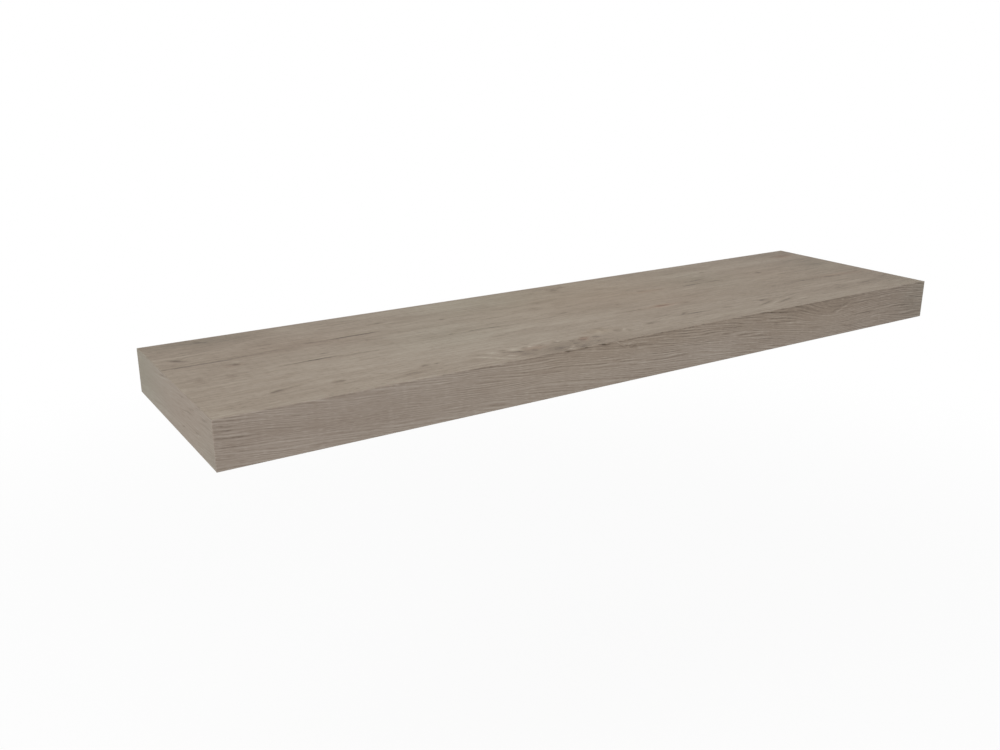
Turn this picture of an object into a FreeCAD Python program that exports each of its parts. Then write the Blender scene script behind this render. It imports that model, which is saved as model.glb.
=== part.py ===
import FreeCAD, Part
import math
import os
import Sketcher

# Floating wall shelf: a hollow board on a frame, with a paper honeycomb core and a grey oak foil,
# that slides on to four steel rods welded to a wall rail. Two set screws under the board grip the rods.
# The wall is the plane y = 0 and the board stands out of it towards -Y. X runs along the shelf, from
# its left end to its right end as seen from the room, and Z is up. The origin is the middle of the
# wall rail's screw holes, on the wall.

doc = FreeCAD.newDocument("WallShelf")

# Driving dimensions, in millimetres unless the note says otherwise.
driving = [
    ("shelf_length", 1000, "over the two end bands"),
    ("shelf_depth", 260, "from the wall to the front face"),
    ("shelf_height", 50, "over both foils"),
    ("foil_thickness", 0.3, "printed decor foil on the top and the underside"),
    ("skin_thickness", 3, "hardboard skins"),
    ("band_thickness", 1, "edge bands on the front and both ends"),
    ("band_radius", 0.7, "rounding of the bands' outer edges"),
    ("back_rail_depth", 50, "frame strip that takes the rods"),
    ("front_rail_depth", 30, "frame strip behind the front band"),
    ("end_rail_width", 30, "frame strips behind the end bands"),
    ("staple_crown", 14, "outside width of a frame staple"),
    ("staple_leg", 12, "depth of a staple's legs"),
    ("staple_wire", 1.2, "square wire of a staple"),
    ("rail_end_margin", 40, "from each end of the board to the steel wall rail's end"),
    ("rail_height", 30, "steel wall rail"),
    ("rail_thickness", 5, "steel wall rail"),
    ("rail_corner", 4, "rounding of the wall rail's corners"),
    ("screw_hole_diameter", 6.5, "wall screw holes and slots"),
    ("countersink_diameter", 12, "wall screw holes, on the room side"),
    ("screw_hole_inner", 40, "from the middle to the inner wall screw holes"),
    ("screw_hole_margin", 20, "from the rail's end to the outer wall screw holes"),
    ("slot_length", 20, "end to end, for shifting the rail sideways"),
    ("head_room", 4.5, "for screw heads and welds, between rail and groove floor"),
    ("groove_side_play", 1, "above and below the rail in the board's groove"),
    ("groove_end_play", 3, "past each end of the rail in the groove"),
    ("outer_rod_margin", 140, "from each end of the board to the outer rods"),
    ("rod_diameter", 12, "steel rods"),
    ("rod_reach", 150, "from the rail's front face to a rod's tip"),
    ("rod_chamfer", 2, "lead-in at a rod's tip"),
    ("rod_play", 0.25, "radial, between a rod and its bore"),
    ("rod_end_play", 3, "from a rod's tip to the bottom of its bore"),
    ("spigot_diameter", 9, "turned-down end of a rod, seated in the rail"),
    ("spigot_play", 0.1, "radial, and short of the wall"),
    ("weld_leg", 3, "fillet weld round a rod's foot"),
    ("block_width", 60, "guide block round a rod"),
    ("block_end_wall", 12, "guide block's wood past the bore"),
    ("cell_size", 25, "honeycomb, across the flats from wall to wall"),
    ("paper_thickness", 0.6, "honeycomb walls, two glued papers thick, and the liner below them"),
    ("core_play", 0.5, "from the honeycomb to the wood round it"),
    ("lock_setback", 30, "from the wall to the locking screws"),
    ("lock_diameter", 6, "locking screws, over the thread"),
    ("lock_length", 12, "locking screws"),
    ("thread_pitch", 1, "locking screws"),
    ("thread_depth", 0.5, "locking screws"),
    ("thread_play", 0.1, "radial, between screw and insert"),
    ("socket_size", 3, "hexagon socket, across the flats"),
    ("socket_depth", 4, "hexagon socket"),
    ("insert_diameter", 10, "threaded insert, outside"),
    ("insert_length", 11, "threaded insert"),
    ("insert_groove", 0.5, "depth of the insert's outside grooves"),
    ("insert_play", 0.05, "radial, between insert and rail"),
    ("access_play", 0.3, "radial, between the insert and the hole in the skin"),
    ("tip_diameter", 4.5, "nylon tip that bears on the rod"),
    ("tip_height", 1.5, "nylon tip"),
    ("stem_diameter", 2.2, "nylon tip's stem in the screw"),
    ("stem_length", 2.2, "nylon tip's stem in the screw"),
    ("tip_play", 0.05, "between tip and rod, and between tip and screw"),
    ("overrun", 1, "how far a cutting shape reaches past a face"),
]

# Counts and shares. The rods stand at equal steps, counted here from the middle of the board.
rod_place_shares = (-1.5, -0.5, 0.5, 1.5)
rod_steps = len(rod_place_shares) - 1
end_sides = (("left", -1), ("right", 1))
insert_groove_count = 3
weld_bulge_share = 0.62
hexagon_share = math.cos(math.radians(30))

sizes = doc.addObject("Spreadsheet::Sheet", "Sizes")
for row, (alias, value, note) in enumerate(driving, start=1):
    sizes.set(f"A{row}", alias)
    sizes.set(f"B{row}", str(value))
    sizes.setAlias(f"B{row}", alias)
    sizes.set(f"C{row}", note)
doc.recompute()

# Derived places, as expressions on the sheet. Distances behind the room side are counted from the wall.
half_length = "(Sizes.shelf_length / 2)"
half_height = "(Sizes.shelf_height / 2)"
inner_half_length = f"({half_length} - Sizes.band_thickness)"
inner_depth = "(Sizes.shelf_depth - Sizes.band_thickness)"
skin_top = f"({half_height} - Sizes.foil_thickness)"
frame_top = f"({skin_top} - Sizes.skin_thickness)"
front_joint = f"({inner_depth} - Sizes.front_rail_depth)"
rail_half_length = f"({half_length} - Sizes.rail_end_margin)"
rod_pitch = f"((Sizes.shelf_length - 2 * Sizes.outer_rod_margin) / {rod_steps})"
rod_radius = "(Sizes.rod_diameter / 2)"
bore_radius = f"({rod_radius} + Sizes.rod_play)"
rod_tip = "(Sizes.rail_thickness + Sizes.rod_reach)"
bore_end = f"({rod_tip} + Sizes.rod_end_play)"
block_end = f"({bore_end} + Sizes.block_end_wall)"
lock_place = f"({rod_place_shares[-1]} * {rod_pitch})"
insert_radius = "(Sizes.insert_diameter / 2)"
lock_top = f"({rod_radius} + Sizes.tip_height + 2 * Sizes.tip_play)"

subparts = {}


def number(expression):
    """The value of an expression on the sheet."""
    return float(sizes.evalExpression(expression))


def bind(thing, **expressions):
    """Ties properties to expressions; a double underscore stands for the dot in a property's path."""
    for path, expression in expressions.items():
        thing.setExpression(path.replace("__", "."), expression)
    return thing


def place(thing, x="0", y="0", z="0"):
    """Ties the place of an object to expressions."""
    for axis, expression in (("x", x), ("y", y), ("z", z)):
        if expression != "0":
            thing.setExpression(f"Placement.Base.{axis}", expression)
    return thing


def keep(name, thing):
    """Registers a finished sub-part under its own name."""
    thing.Label = name
    subparts[name] = thing
    return thing


def box(name, low, span):
    """A plain box from its lowest corner and its three sides, all expressions."""
    solid = doc.addObject("Part::Box", name)
    bind(solid, Length=span[0], Width=span[1], Height=span[2])
    return place(solid, *low)


def cylinder(name, radius, height, centre):
    solid = doc.addObject("Part::Cylinder", name)
    bind(solid, Radius=radius, Height=height)
    return place(solid, *centre)


def cut(name, base, tool):
    result = doc.addObject("Part::Cut", name)
    result.Base = base
    result.Tool = tool
    return result


def new_body(name):
    return doc.addObject("PartDesign::Body", name + "_body")


def new_sketch(body, role, offset="0"):
    """A sketch on one of the body's own origin planes, moved along that plane's normal."""
    sketch = body.newObject("Sketcher::SketchObject", body.Name + "_sketch")
    plane = next(f for f in body.Origin.OriginFeatures if f.Role == role)
    sketch.AttachmentSupport = [(plane, "")]
    sketch.MapMode = "FlatFace"
    if offset != "0":
        sketch.setExpression("AttachmentOffset.Base.z", offset)
    return sketch


# How a sketch numbers its own axes, and the points of a line, an arc or a circle. The horizontal
# axis starts at the sketch's origin.
horizontal_axis = -1
vertical_axis = horizontal_axis - 1
start, end, centre = range(1, 4)


def fix_point(sketch, geometry, which, x, y):
    """Ties one point of a sketch to expressions, or to an axis where the coordinate is zero."""
    point = (geometry, which)
    origin = (horizontal_axis, start)
    for kind, value, axis in (("DistanceX", x, vertical_axis), ("DistanceY", y, horizontal_axis)):
        if value == "0":
            sketch.addConstraint(Sketcher.Constraint("PointOnObject", *point, axis))
        else:
            row = sketch.addConstraint(Sketcher.Constraint(kind, *origin, *point, number(value)))
            sketch.setExpression(f"Constraints[{row}]", value)


def draw_outline(sketch, points):
    """A closed outline of straight lines through points given as pairs of expressions."""
    places = [FreeCAD.Vector(number(x), number(y), 0) for x, y in points]
    lines = [
        sketch.addGeometry(Part.LineSegment(places[i], places[(i + 1) % len(places)]), False)
        for i in range(len(places))
    ]
    for i, line in enumerate(lines):
        sketch.addConstraint(Sketcher.Constraint("Coincident", lines[i - 1], end, line, start))
    for line, (x, y) in zip(lines, points):
        fix_point(sketch, line, start, x, y)
    return sketch


def draw_rectangle(sketch, left, right, low, high):
    return draw_outline(sketch, [(left, low), (right, low), (right, high), (left, high)])


def draw_circle(sketch, x, y, diameter):
    up = FreeCAD.Vector(0, 0, 1)
    middle = FreeCAD.Vector(number(x), number(y), 0)
    circle = sketch.addGeometry(Part.Circle(middle, up, number(diameter) / 2), False)
    fix_point(sketch, circle, centre, x, y)
    row = sketch.addConstraint(Sketcher.Constraint("Diameter", circle, number(diameter)))
    sketch.setExpression(f"Constraints[{row}]", diameter)
    return sketch


def draw_slot(sketch, x, length, width):
    """A slot along the sketch's first axis, centred on it, from two half circles and two lines."""
    up = FreeCAD.Vector(0, 0, 1)
    radius = number(width) / 2
    reach = f"(({length} - {width}) / 2)"
    left = FreeCAD.Vector(number(f"{x} - {reach}"), 0, 0)
    right = FreeCAD.Vector(number(f"{x} + {reach}"), 0, 0)
    rise = FreeCAD.Vector(0, radius, 0)
    quarter = math.pi / 2
    left_half = Part.ArcOfCircle(Part.Circle(left, up, radius), quarter, 3 * quarter)
    right_half = Part.ArcOfCircle(Part.Circle(right, up, radius), -quarter, quarter)
    arc_left = sketch.addGeometry(left_half, False)
    arc_right = sketch.addGeometry(right_half, False)
    low_line = sketch.addGeometry(Part.LineSegment(left - rise, right - rise), False)
    high_line = sketch.addGeometry(Part.LineSegment(right + rise, left + rise), False)
    ring = [arc_left, low_line, arc_right, high_line]
    for i, piece in enumerate(ring):
        sketch.addConstraint(Sketcher.Constraint("Tangent", ring[i - 1], end, piece, start))
    fix_point(sketch, arc_left, centre, f"{x} - {reach}", "0")
    fix_point(sketch, arc_right, centre, f"{x} + {reach}", "0")
    row = sketch.addConstraint(Sketcher.Constraint("Radius", arc_left, radius))
    sketch.setExpression(f"Constraints[{row}]", f"{width} / 2")
    return sketch


def pad(body, sketch, length):
    feature = body.newObject("PartDesign::Pad", body.Name + "_pad")
    feature.Profile = sketch
    return bind(feature, Length=length)


def pocket(body, sketch, length=None, along_normal=False):
    """Cuts a sketch against its plane's normal, or along it; without a length, right through."""
    feature = body.newObject("PartDesign::Pocket", body.Name + "_pocket")
    feature.Profile = sketch
    feature.Reversed = along_normal
    if length is None:
        feature.Type = "ThroughAll"
    else:
        bind(feature, Length=length)
    return feature


def revolve(body, sketch):
    """Turns a sketch about its own vertical axis."""
    feature = body.newObject("PartDesign::Revolution", body.Name + "_turned")
    feature.Profile = sketch
    feature.ReferenceAxis = (sketch, ["V_Axis"])
    feature.Angle = 360
    return feature


def row_of(body, feature, sketch, length, count):
    """Repeats a feature along its sketch's first axis."""
    pattern = body.newObject("PartDesign::LinearPattern", body.Name + "_row")
    pattern.Originals = [feature]
    pattern.Direction = (sketch, ["H_Axis"])
    bind(pattern, Length=length)
    pattern.Occurrences = count
    body.Tip = pattern
    return pattern


def round_edges(body, feature, radius, chosen):
    """Rounds the feature's straight edges whose middle passes the test."""
    doc.recompute()
    names = [
        f"Edge{i}"
        for i, edge in enumerate(feature.Shape.Edges, start=1)
        if chosen(edge.CenterOfMass)
    ]
    rounding = body.newObject("PartDesign::Fillet", body.Name + "_rounding")
    rounding.Base = (feature, names)
    return bind(rounding, Radius=radius)


# The steel wall rail: a flat bar with six screw places and a seat for each rod.
def make_wall_rail():
    body = new_body("wall_rail")
    outline = new_sketch(body, "XZ_Plane")
    draw_rectangle(
        outline,
        f"-{rail_half_length}",
        rail_half_length,
        "-Sizes.rail_height / 2",
        "Sizes.rail_height / 2",
    )
    bar = pad(body, outline, "Sizes.rail_thickness")
    near = number("Sizes.rail_corner")
    tip, edge = number(rail_half_length), number("Sizes.rail_height / 2")
    round_edges(
        body,
        bar,
        "Sizes.rail_corner",
        lambda middle: abs(middle.x) > tip - near / 2 and abs(middle.z) > edge - near / 2,
    )
    seats = new_sketch(body, "XZ_Plane")
    draw_circle(
        seats,
        f"{rod_place_shares[0]} * {rod_pitch}",
        "0",
        "Sizes.spigot_diameter + 2 * Sizes.spigot_play",
    )
    seat = pocket(body, seats, along_normal=True)
    row_of(body, seat, seats, f"{rod_steps} * {rod_pitch}", len(rod_place_shares))
    slots = new_sketch(body, "XZ_Plane")
    for _, side in end_sides:
        draw_slot(slots, f"({side} * {rod_pitch})", "Sizes.slot_length", "Sizes.screw_hole_diameter")
    pocket(body, slots, along_normal=True)
    holes = new_sketch(body, "XZ_Plane")
    outer = f"({rail_half_length} - Sizes.screw_hole_margin)"
    for distance in ("Sizes.screw_hole_inner", outer):
        for _, side in end_sides:
            draw_circle(holes, f"({side} * {distance})", "0", "Sizes.screw_hole_diameter")
    drilled = pocket(body, holes, along_normal=True)
    doc.recompute()
    front = -number("Sizes.rail_thickness")
    hole_radius = number("Sizes.screw_hole_diameter / 2")
    touch = number("Sizes.spigot_play")
    rims = [
        f"Edge{i}"
        for i, rim in enumerate(drilled.Shape.Edges, start=1)
        if isinstance(rim.Curve, Part.Circle)
        and rim.isClosed()
        and abs(rim.Curve.Radius - hole_radius) < touch
        and abs(rim.CenterOfMass.y - front) < touch
    ]
    countersink = body.newObject("PartDesign::Chamfer", body.Name + "_countersink")
    countersink.Base = (drilled, rims)
    bind(countersink, Size="(Sizes.countersink_diameter - Sizes.screw_hole_diameter) / 2")
    keep("wall_rail", body)


# The rods: turned bar with a spigot through the rail and a chamfered tip.
def make_rods():
    spigot_radius = "(Sizes.spigot_diameter / 2)"
    for order, share in enumerate(rod_place_shares, start=1):
        body = new_body(f"support_rod_{order}")
        profile = new_sketch(body, "XY_Plane")
        draw_outline(
            profile,
            [
                ("0", "-Sizes.spigot_play"),
                (spigot_radius, "-Sizes.spigot_play"),
                (spigot_radius, "-Sizes.rail_thickness"),
                (rod_radius, "-Sizes.rail_thickness"),
                (rod_radius, f"-({rod_tip} - Sizes.rod_chamfer)"),
                (f"{rod_radius} - Sizes.rod_chamfer", f"-{rod_tip}"),
                ("0", f"-{rod_tip}"),
            ],
        )
        revolve(body, profile)
        place(body, x=f"{share} * {rod_pitch}")
        keep(f"support_rod_{order}", body)


# The fillet welds: a bulging ring in the corner between each rod and the rail.
def make_welds():
    foot = number(rod_radius)
    leg = number("Sizes.weld_leg")
    face = -number("Sizes.rail_thickness")
    inner = FreeCAD.Vector(foot, face, 0)
    on_rail = FreeCAD.Vector(foot + leg, face, 0)
    on_rod = FreeCAD.Vector(foot, face - leg, 0)
    bulge = FreeCAD.Vector(foot + weld_bulge_share * leg, face - weld_bulge_share * leg, 0)
    profile = Part.Wire(
        [
            Part.LineSegment(inner, on_rail).toShape(),
            Part.Arc(on_rail, bulge, on_rod).toShape(),
            Part.LineSegment(on_rod, inner).toShape(),
        ]
    )
    ring = Part.Face(profile).revolve(FreeCAD.Vector(0, 0, 0), FreeCAD.Vector(0, 1, 0), 360)
    for order, share in enumerate(rod_place_shares, start=1):
        weld = doc.addObject("Part::Feature", f"rod_weld_{order}_ring")
        weld.Shape = ring
        place(weld, x=f"{share} * {rod_pitch}")
        keep(f"rod_weld_{order}", weld)


# The frame's staples: one on the top and one on the underside of each butt joint.
def make_staples():
    wire = number("Sizes.staple_wire")
    crown = number("Sizes.staple_crown")
    leg = number("Sizes.staple_leg")
    across = number(f"{inner_half_length} - Sizes.end_rail_width / 2")
    crown_bar = Part.makeBox(wire, crown, wire, FreeCAD.Vector(-wire / 2, -crown / 2, -wire))
    legs = [
        Part.makeBox(wire, wire, leg, FreeCAD.Vector(-wire / 2, y, -leg))
        for y in (-crown / 2, crown / 2 - wire)
    ]
    upright = crown_bar.fuse(legs).removeSplitter()
    upside_down = upright.rotated(FreeCAD.Vector(0, 0, 0), FreeCAD.Vector(0, 1, 0), 180)
    staples = []
    for joint in (number(front_joint), number("Sizes.back_rail_depth")):
        for _, side in end_sides:
            staples.append(upright.translated(FreeCAD.Vector(side * across, -joint, number(frame_top))))
            staples.append(upside_down.translated(FreeCAD.Vector(side * across, -joint, -number(frame_top))))
    stapled = doc.addObject("Part::Feature", "frame_staples_all")
    stapled.Shape = Part.makeCompound(staples)
    return keep("frame_staples", stapled)


# The frame strips: butt-jointed between the skins, each with the staples' seats cut into it.
def make_frame(staples):
    full_height = f"(2 * {frame_top})"
    front_blank = box(
        "front_rail_blank",
        (f"-{inner_half_length}", f"-{inner_depth}", f"-{frame_top}"),
        (f"2 * {inner_half_length}", "Sizes.front_rail_depth", full_height),
    )
    keep("front_rail", cut("front_rail_stapled", front_blank, staples))
    for name, side in end_sides:
        left_face = f"-{inner_half_length}" if side < 0 else f"({inner_half_length} - Sizes.end_rail_width)"
        end_blank = box(
            f"{name}_end_rail_blank",
            (left_face, f"-{front_joint}", f"-{frame_top}"),
            ("Sizes.end_rail_width", f"({front_joint} - Sizes.back_rail_depth)", full_height),
        )
        keep(f"{name}_end_rail", cut(f"{name}_end_rail_stapled", end_blank, staples))
    keep("back_rail", cut("back_rail_stapled", make_back_rail_blank(), staples))


# The back rail: grooved for the wall rail, bored for the rods and drilled from below for the inserts.
def make_back_rail_blank():
    body = new_body("back_rail_blank")
    outline = new_sketch(body, "XZ_Plane")
    draw_rectangle(outline, f"-{inner_half_length}", inner_half_length, f"-{frame_top}", frame_top)
    pad(body, outline, "Sizes.back_rail_depth")
    groove = new_sketch(body, "XZ_Plane")
    groove_half_length = f"({rail_half_length} + Sizes.groove_end_play)"
    groove_half_height = "(Sizes.rail_height / 2 + Sizes.groove_side_play)"
    draw_rectangle(
        groove,
        f"-{groove_half_length}",
        groove_half_length,
        f"-{groove_half_height}",
        groove_half_height,
    )
    pocket(body, groove, "Sizes.rail_thickness + Sizes.head_room", along_normal=True)
    bores = new_sketch(body, "XZ_Plane")
    draw_circle(bores, f"{rod_place_shares[0]} * {rod_pitch}", "0", f"2 * {bore_radius}")
    bore = pocket(body, bores, along_normal=True)
    row_of(body, bore, bores, f"{rod_steps} * {rod_pitch}", len(rod_place_shares))
    for diameter, depth in (
        ("Sizes.insert_diameter + 2 * Sizes.insert_play", "Sizes.insert_length"),
        ("Sizes.lock_diameter + 2 * Sizes.access_play", frame_top),
    ):
        holes = new_sketch(body, "XY_Plane", f"-{frame_top}")
        for _, side in end_sides:
            draw_circle(holes, f"({side} * {lock_place})", "-Sizes.lock_setback", diameter)
        pocket(body, holes, depth, along_normal=True)
    return body


# The guide blocks: one round each rod, from the back rail to past the rod's tip.
def make_guide_blocks():
    for order, share in enumerate(rod_place_shares, start=1):
        body = new_body(f"guide_block_{order}")
        outline = new_sketch(body, "XZ_Plane", "Sizes.back_rail_depth")
        draw_rectangle(
            outline, "-Sizes.block_width / 2", "Sizes.block_width / 2", f"-{frame_top}", frame_top
        )
        pad(body, outline, f"{block_end} - Sizes.back_rail_depth")
        bore = new_sketch(body, "XZ_Plane", "Sizes.back_rail_depth")
        draw_circle(bore, "0", "0", f"2 * {bore_radius}")
        pocket(body, bore, f"{bore_end} - Sizes.back_rail_depth", along_normal=True)
        place(body, x=f"{share} * {rod_pitch}")
        keep(f"guide_block_{order}", body)


def honeycomb_piece(x_low, x_high, y_low, y_high):
    """A rectangle of honeycomb on its liner paper, its cells on one grid for the whole board."""
    pitch = number("Sizes.cell_size")
    paper = number("Sizes.paper_thickness")
    height = number(f"2 * {frame_top}")
    corner = (pitch - paper) / 2 / hexagon_share
    row_step = pitch * hexagon_share
    block = Part.makeBox(x_high - x_low, y_high - y_low, height, FreeCAD.Vector(x_low, y_low, 0))
    cells = []
    for row in range(math.floor(y_low / row_step), math.ceil(y_high / row_step) + 1):
        shift = pitch / 2 if row % 2 else 0
        for column in range(math.floor(x_low / pitch) - 1, math.ceil(x_high / pitch) + 1):
            x, y = column * pitch + shift, row * row_step
            ring = [
                FreeCAD.Vector(x + corner * math.sin(turn), y + corner * math.cos(turn), paper)
                for turn in (math.radians(60 * k) for k in range(7))
            ]
            cells.append(Part.Face(Part.makePolygon(ring)).extrude(FreeCAD.Vector(0, 0, height)))
    return block.cut(Part.makeCompound(cells))


# The paper honeycomb: one strip along the front and one piece in each bay beside the guide blocks.
def make_honeycomb():
    play = number("Sizes.core_play")
    half_block = number("Sizes.block_width / 2")
    reach = number(f"{inner_half_length} - Sizes.end_rail_width")
    centres = [share * number(rod_pitch) for share in rod_place_shares]
    lefts = [-reach] + [centre + half_block for centre in centres]
    rights = [centre - half_block for centre in centres] + [reach]
    behind, ahead = -number(block_end), -number("Sizes.back_rail_depth")
    bays = [
        (f"honeycomb_bay_{order}", left, right, behind, ahead)
        for order, (left, right) in enumerate(zip(lefts, rights), start=1)
    ]
    bays.append(("honeycomb_front", -reach, reach, -number(front_joint), behind))
    low = -number(frame_top)
    for name, left, right, back, front in bays:
        core = honeycomb_piece(left + play, right - play, back + play, front - play)
        piece = doc.addObject("Part::Feature", name + "_net")
        piece.Shape = core.Solids[0] if len(core.Solids) == 1 else core
        piece.Placement = FreeCAD.Placement(FreeCAD.Vector(0, 0, low), FreeCAD.Rotation())
        keep(name, piece)


# The skins and the foils on them; the lower pair has a hole under each locking screw.
def make_skins():
    access = []
    for name, side in end_sides:
        access.append(
            cylinder(
                f"{name}_access",
                f"{insert_radius} + Sizes.access_play",
                f"{half_height} - {frame_top} + 2 * Sizes.overrun",
                (
                    f"{side} * {lock_place}",
                    "-Sizes.lock_setback",
                    f"-({half_height} + Sizes.overrun)",
                ),
            )
        )
    holes = doc.addObject("Part::MultiFuse", "access_holes")
    holes.Shapes = access
    for name, thickness, top_low, bottom_low in (
        ("skin", "Sizes.skin_thickness", frame_top, f"-{skin_top}"),
        ("decor_foil", "Sizes.foil_thickness", skin_top, f"-{half_height}"),
    ):
        span = (f"2 * {inner_half_length}", inner_depth, thickness)
        corner = (f"-{inner_half_length}", f"-{inner_depth}")
        keep(f"top_{name}", box(f"top_{name}_sheet", (*corner, top_low), span))
        plate = box(f"bottom_{name}_blank", (*corner, bottom_low), span)
        keep(f"bottom_{name}", cut(f"bottom_{name}_drilled", plate, holes))


# The edge bands: the end bands first, then the front band over their ends.
def make_bands():
    near = number("Sizes.band_thickness") / 4
    top = number(half_height)
    front = new_body("front_edge_band")
    outline = new_sketch(front, "XZ_Plane", inner_depth)
    draw_rectangle(outline, f"-{half_length}", half_length, f"-{half_height}", half_height)
    strip = pad(front, outline, "Sizes.band_thickness")
    face = -number("Sizes.shelf_depth")
    round_edges(front, strip, "Sizes.band_radius", lambda middle: abs(middle.y - face) < near)
    keep("front_edge_band", front)
    for name, side in end_sides:
        body = new_body(f"{name}_edge_band")
        inner_face = f"-{half_length}" if side < 0 else inner_half_length
        outline = new_sketch(body, "YZ_Plane", inner_face)
        draw_rectangle(outline, f"-{inner_depth}", "0", f"-{half_height}", half_height)
        strip = pad(body, outline, "Sizes.band_thickness")
        face = side * number(half_length)
        round_edges(
            body,
            strip,
            "Sizes.band_radius",
            lambda middle, face=face: abs(middle.x - face) < near and abs(middle.z) > top - near,
        )
        keep(f"{name}_edge_band", body)


# The threaded inserts: pressed into the back rail from below, with grooves that hold the glue.
def make_inserts():
    bore = "(Sizes.lock_diameter / 2 + Sizes.thread_play)"
    groove_radius = f"({insert_radius} - Sizes.insert_groove)"
    steps = 2 * insert_groove_count + 1
    for name, side in end_sides:
        body = new_body(f"{name}_threaded_insert")
        profile = new_sketch(body, "XZ_Plane")
        points = [(bore, "0"), (insert_radius, "0")]
        for step in range(1, steps):
            height = f"({step} / {steps} * Sizes.insert_length)"
            before, after = (insert_radius, groove_radius) if step % 2 else (groove_radius, insert_radius)
            points += [(before, height), (after, height)]
        points += [(insert_radius, "Sizes.insert_length"), (bore, "Sizes.insert_length")]
        draw_outline(profile, points)
        revolve(body, profile)
        place(body, f"{side} * {lock_place}", "-Sizes.lock_setback", f"-{frame_top}")
        keep(f"{name}_threaded_insert", body)


# The locking screws: set screws whose thread is drawn as rings, with a hexagon socket below.
def make_locking_screws():
    crest = "(Sizes.lock_diameter / 2)"
    root = f"({crest} - Sizes.thread_depth)"
    turns = int(number("Sizes.lock_length / Sizes.thread_pitch"))
    for name, side in end_sides:
        body = new_body(f"{name}_locking_screw")
        profile = new_sketch(body, "XZ_Plane")
        points = [("0", "0"), (root, "0")]
        for turn in range(turns):
            points.append((crest, f"-({turn + 0.5} * Sizes.thread_pitch)"))
            if turn < turns - 1:
                points.append((root, f"-({turn + 1} * Sizes.thread_pitch)"))
        points += [(root, "-Sizes.lock_length"), ("0", "-Sizes.lock_length")]
        draw_outline(profile, points)
        revolve(body, profile)
        socket = new_sketch(body, "XY_Plane", "-Sizes.lock_length")
        flat = "(Sizes.socket_size / 2)"
        point = f"({flat} / {hexagon_share})"
        draw_outline(
            socket,
            [
                (flat, f"-{point} / 2"),
                (flat, f"{point} / 2"),
                ("0", point),
                (f"-{flat}", f"{point} / 2"),
                (f"-{flat}", f"-{point} / 2"),
                ("0", f"-{point}"),
            ],
        )
        pocket(body, socket, "Sizes.socket_depth", along_normal=True)
        seat = new_sketch(body, "XY_Plane")
        draw_circle(seat, "0", "0", "Sizes.stem_diameter + 2 * Sizes.tip_play")
        pocket(body, seat, "Sizes.stem_length + Sizes.tip_play")
        place(body, f"{side} * {lock_place}", "-Sizes.lock_setback", f"-{lock_top}")
        keep(f"{name}_locking_screw", body)


# The nylon tips: they stay still against the rod while the screw turns on their stem.
def make_screw_tips():
    head, stem = "(Sizes.tip_diameter / 2)", "(Sizes.stem_diameter / 2)"
    bottom = "(Sizes.tip_height + Sizes.stem_length)"
    for name, side in end_sides:
        body = new_body(f"{name}_screw_tip")
        profile = new_sketch(body, "XZ_Plane")
        draw_outline(
            profile,
            [
                ("0", "0"),
                ("0", f"-{bottom}"),
                (stem, f"-{bottom}"),
                (stem, "-Sizes.tip_height"),
                (head, "-Sizes.tip_height"),
                (head, "0"),
            ],
        )
        revolve(body, profile)
        place(
            body, f"{side} * {lock_place}", "-Sizes.lock_setback", f"-({rod_radius} + Sizes.tip_play)"
        )
        keep(f"{name}_screw_tip", body)


def check_and_write():
    """Stops on any failed object, then writes each sub-part to its own file."""
    doc.recompute()
    failed = [thing.Label for thing in doc.Objects if {"Invalid", "Error"} & set(thing.State)]
    if failed:
        raise RuntimeError(f"failed objects: {failed}")
    os.makedirs("parts", exist_ok=True)
    for name, thing in subparts.items():
        shape = thing.Shape
        if shape.isNull() or not shape.isValid() or not shape.Solids:
            raise RuntimeError(f"{name} has no valid solid")
    for name, thing in subparts.items():
        thing.Shape.exportStep(f"parts/{name}.step")
    print(f"{len(subparts)} sub-parts written")


make_wall_rail()
make_rods()
make_welds()
frame_staples = make_staples()
make_frame(frame_staples)
make_guide_blocks()
make_honeycomb()
make_skins()
make_bands()
make_inserts()
make_locking_screws()
make_screw_tips()
check_and_write()
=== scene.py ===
import bpy
import math
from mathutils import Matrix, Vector


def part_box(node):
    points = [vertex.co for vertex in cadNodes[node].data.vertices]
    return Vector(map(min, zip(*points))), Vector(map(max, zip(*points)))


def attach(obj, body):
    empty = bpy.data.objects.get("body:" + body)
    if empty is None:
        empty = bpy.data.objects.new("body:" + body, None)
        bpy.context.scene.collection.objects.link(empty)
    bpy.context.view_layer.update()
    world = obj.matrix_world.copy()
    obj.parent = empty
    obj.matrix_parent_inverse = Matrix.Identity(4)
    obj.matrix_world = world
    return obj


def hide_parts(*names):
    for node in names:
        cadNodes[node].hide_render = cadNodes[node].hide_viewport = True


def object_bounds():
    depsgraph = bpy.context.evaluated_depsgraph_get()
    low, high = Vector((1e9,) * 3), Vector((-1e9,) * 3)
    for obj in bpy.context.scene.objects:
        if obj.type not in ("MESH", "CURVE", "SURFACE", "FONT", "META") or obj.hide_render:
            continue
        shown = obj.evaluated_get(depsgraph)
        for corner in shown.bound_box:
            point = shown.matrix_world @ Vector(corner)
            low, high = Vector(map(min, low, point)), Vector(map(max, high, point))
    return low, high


# Grey oak wall shelf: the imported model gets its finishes, its welds and screws, and a plain studio.
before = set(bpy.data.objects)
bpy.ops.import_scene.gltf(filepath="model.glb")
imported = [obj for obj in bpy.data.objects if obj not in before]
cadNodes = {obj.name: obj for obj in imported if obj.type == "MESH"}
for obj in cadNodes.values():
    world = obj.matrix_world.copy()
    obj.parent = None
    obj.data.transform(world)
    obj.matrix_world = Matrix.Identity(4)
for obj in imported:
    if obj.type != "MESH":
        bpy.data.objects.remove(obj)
cadLow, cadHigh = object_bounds()
print("frame loaded:", len(cadNodes), "pieces")

mm = 0.001


def middleOf(node):
    low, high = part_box(node)
    return (low + high) / 2


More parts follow.
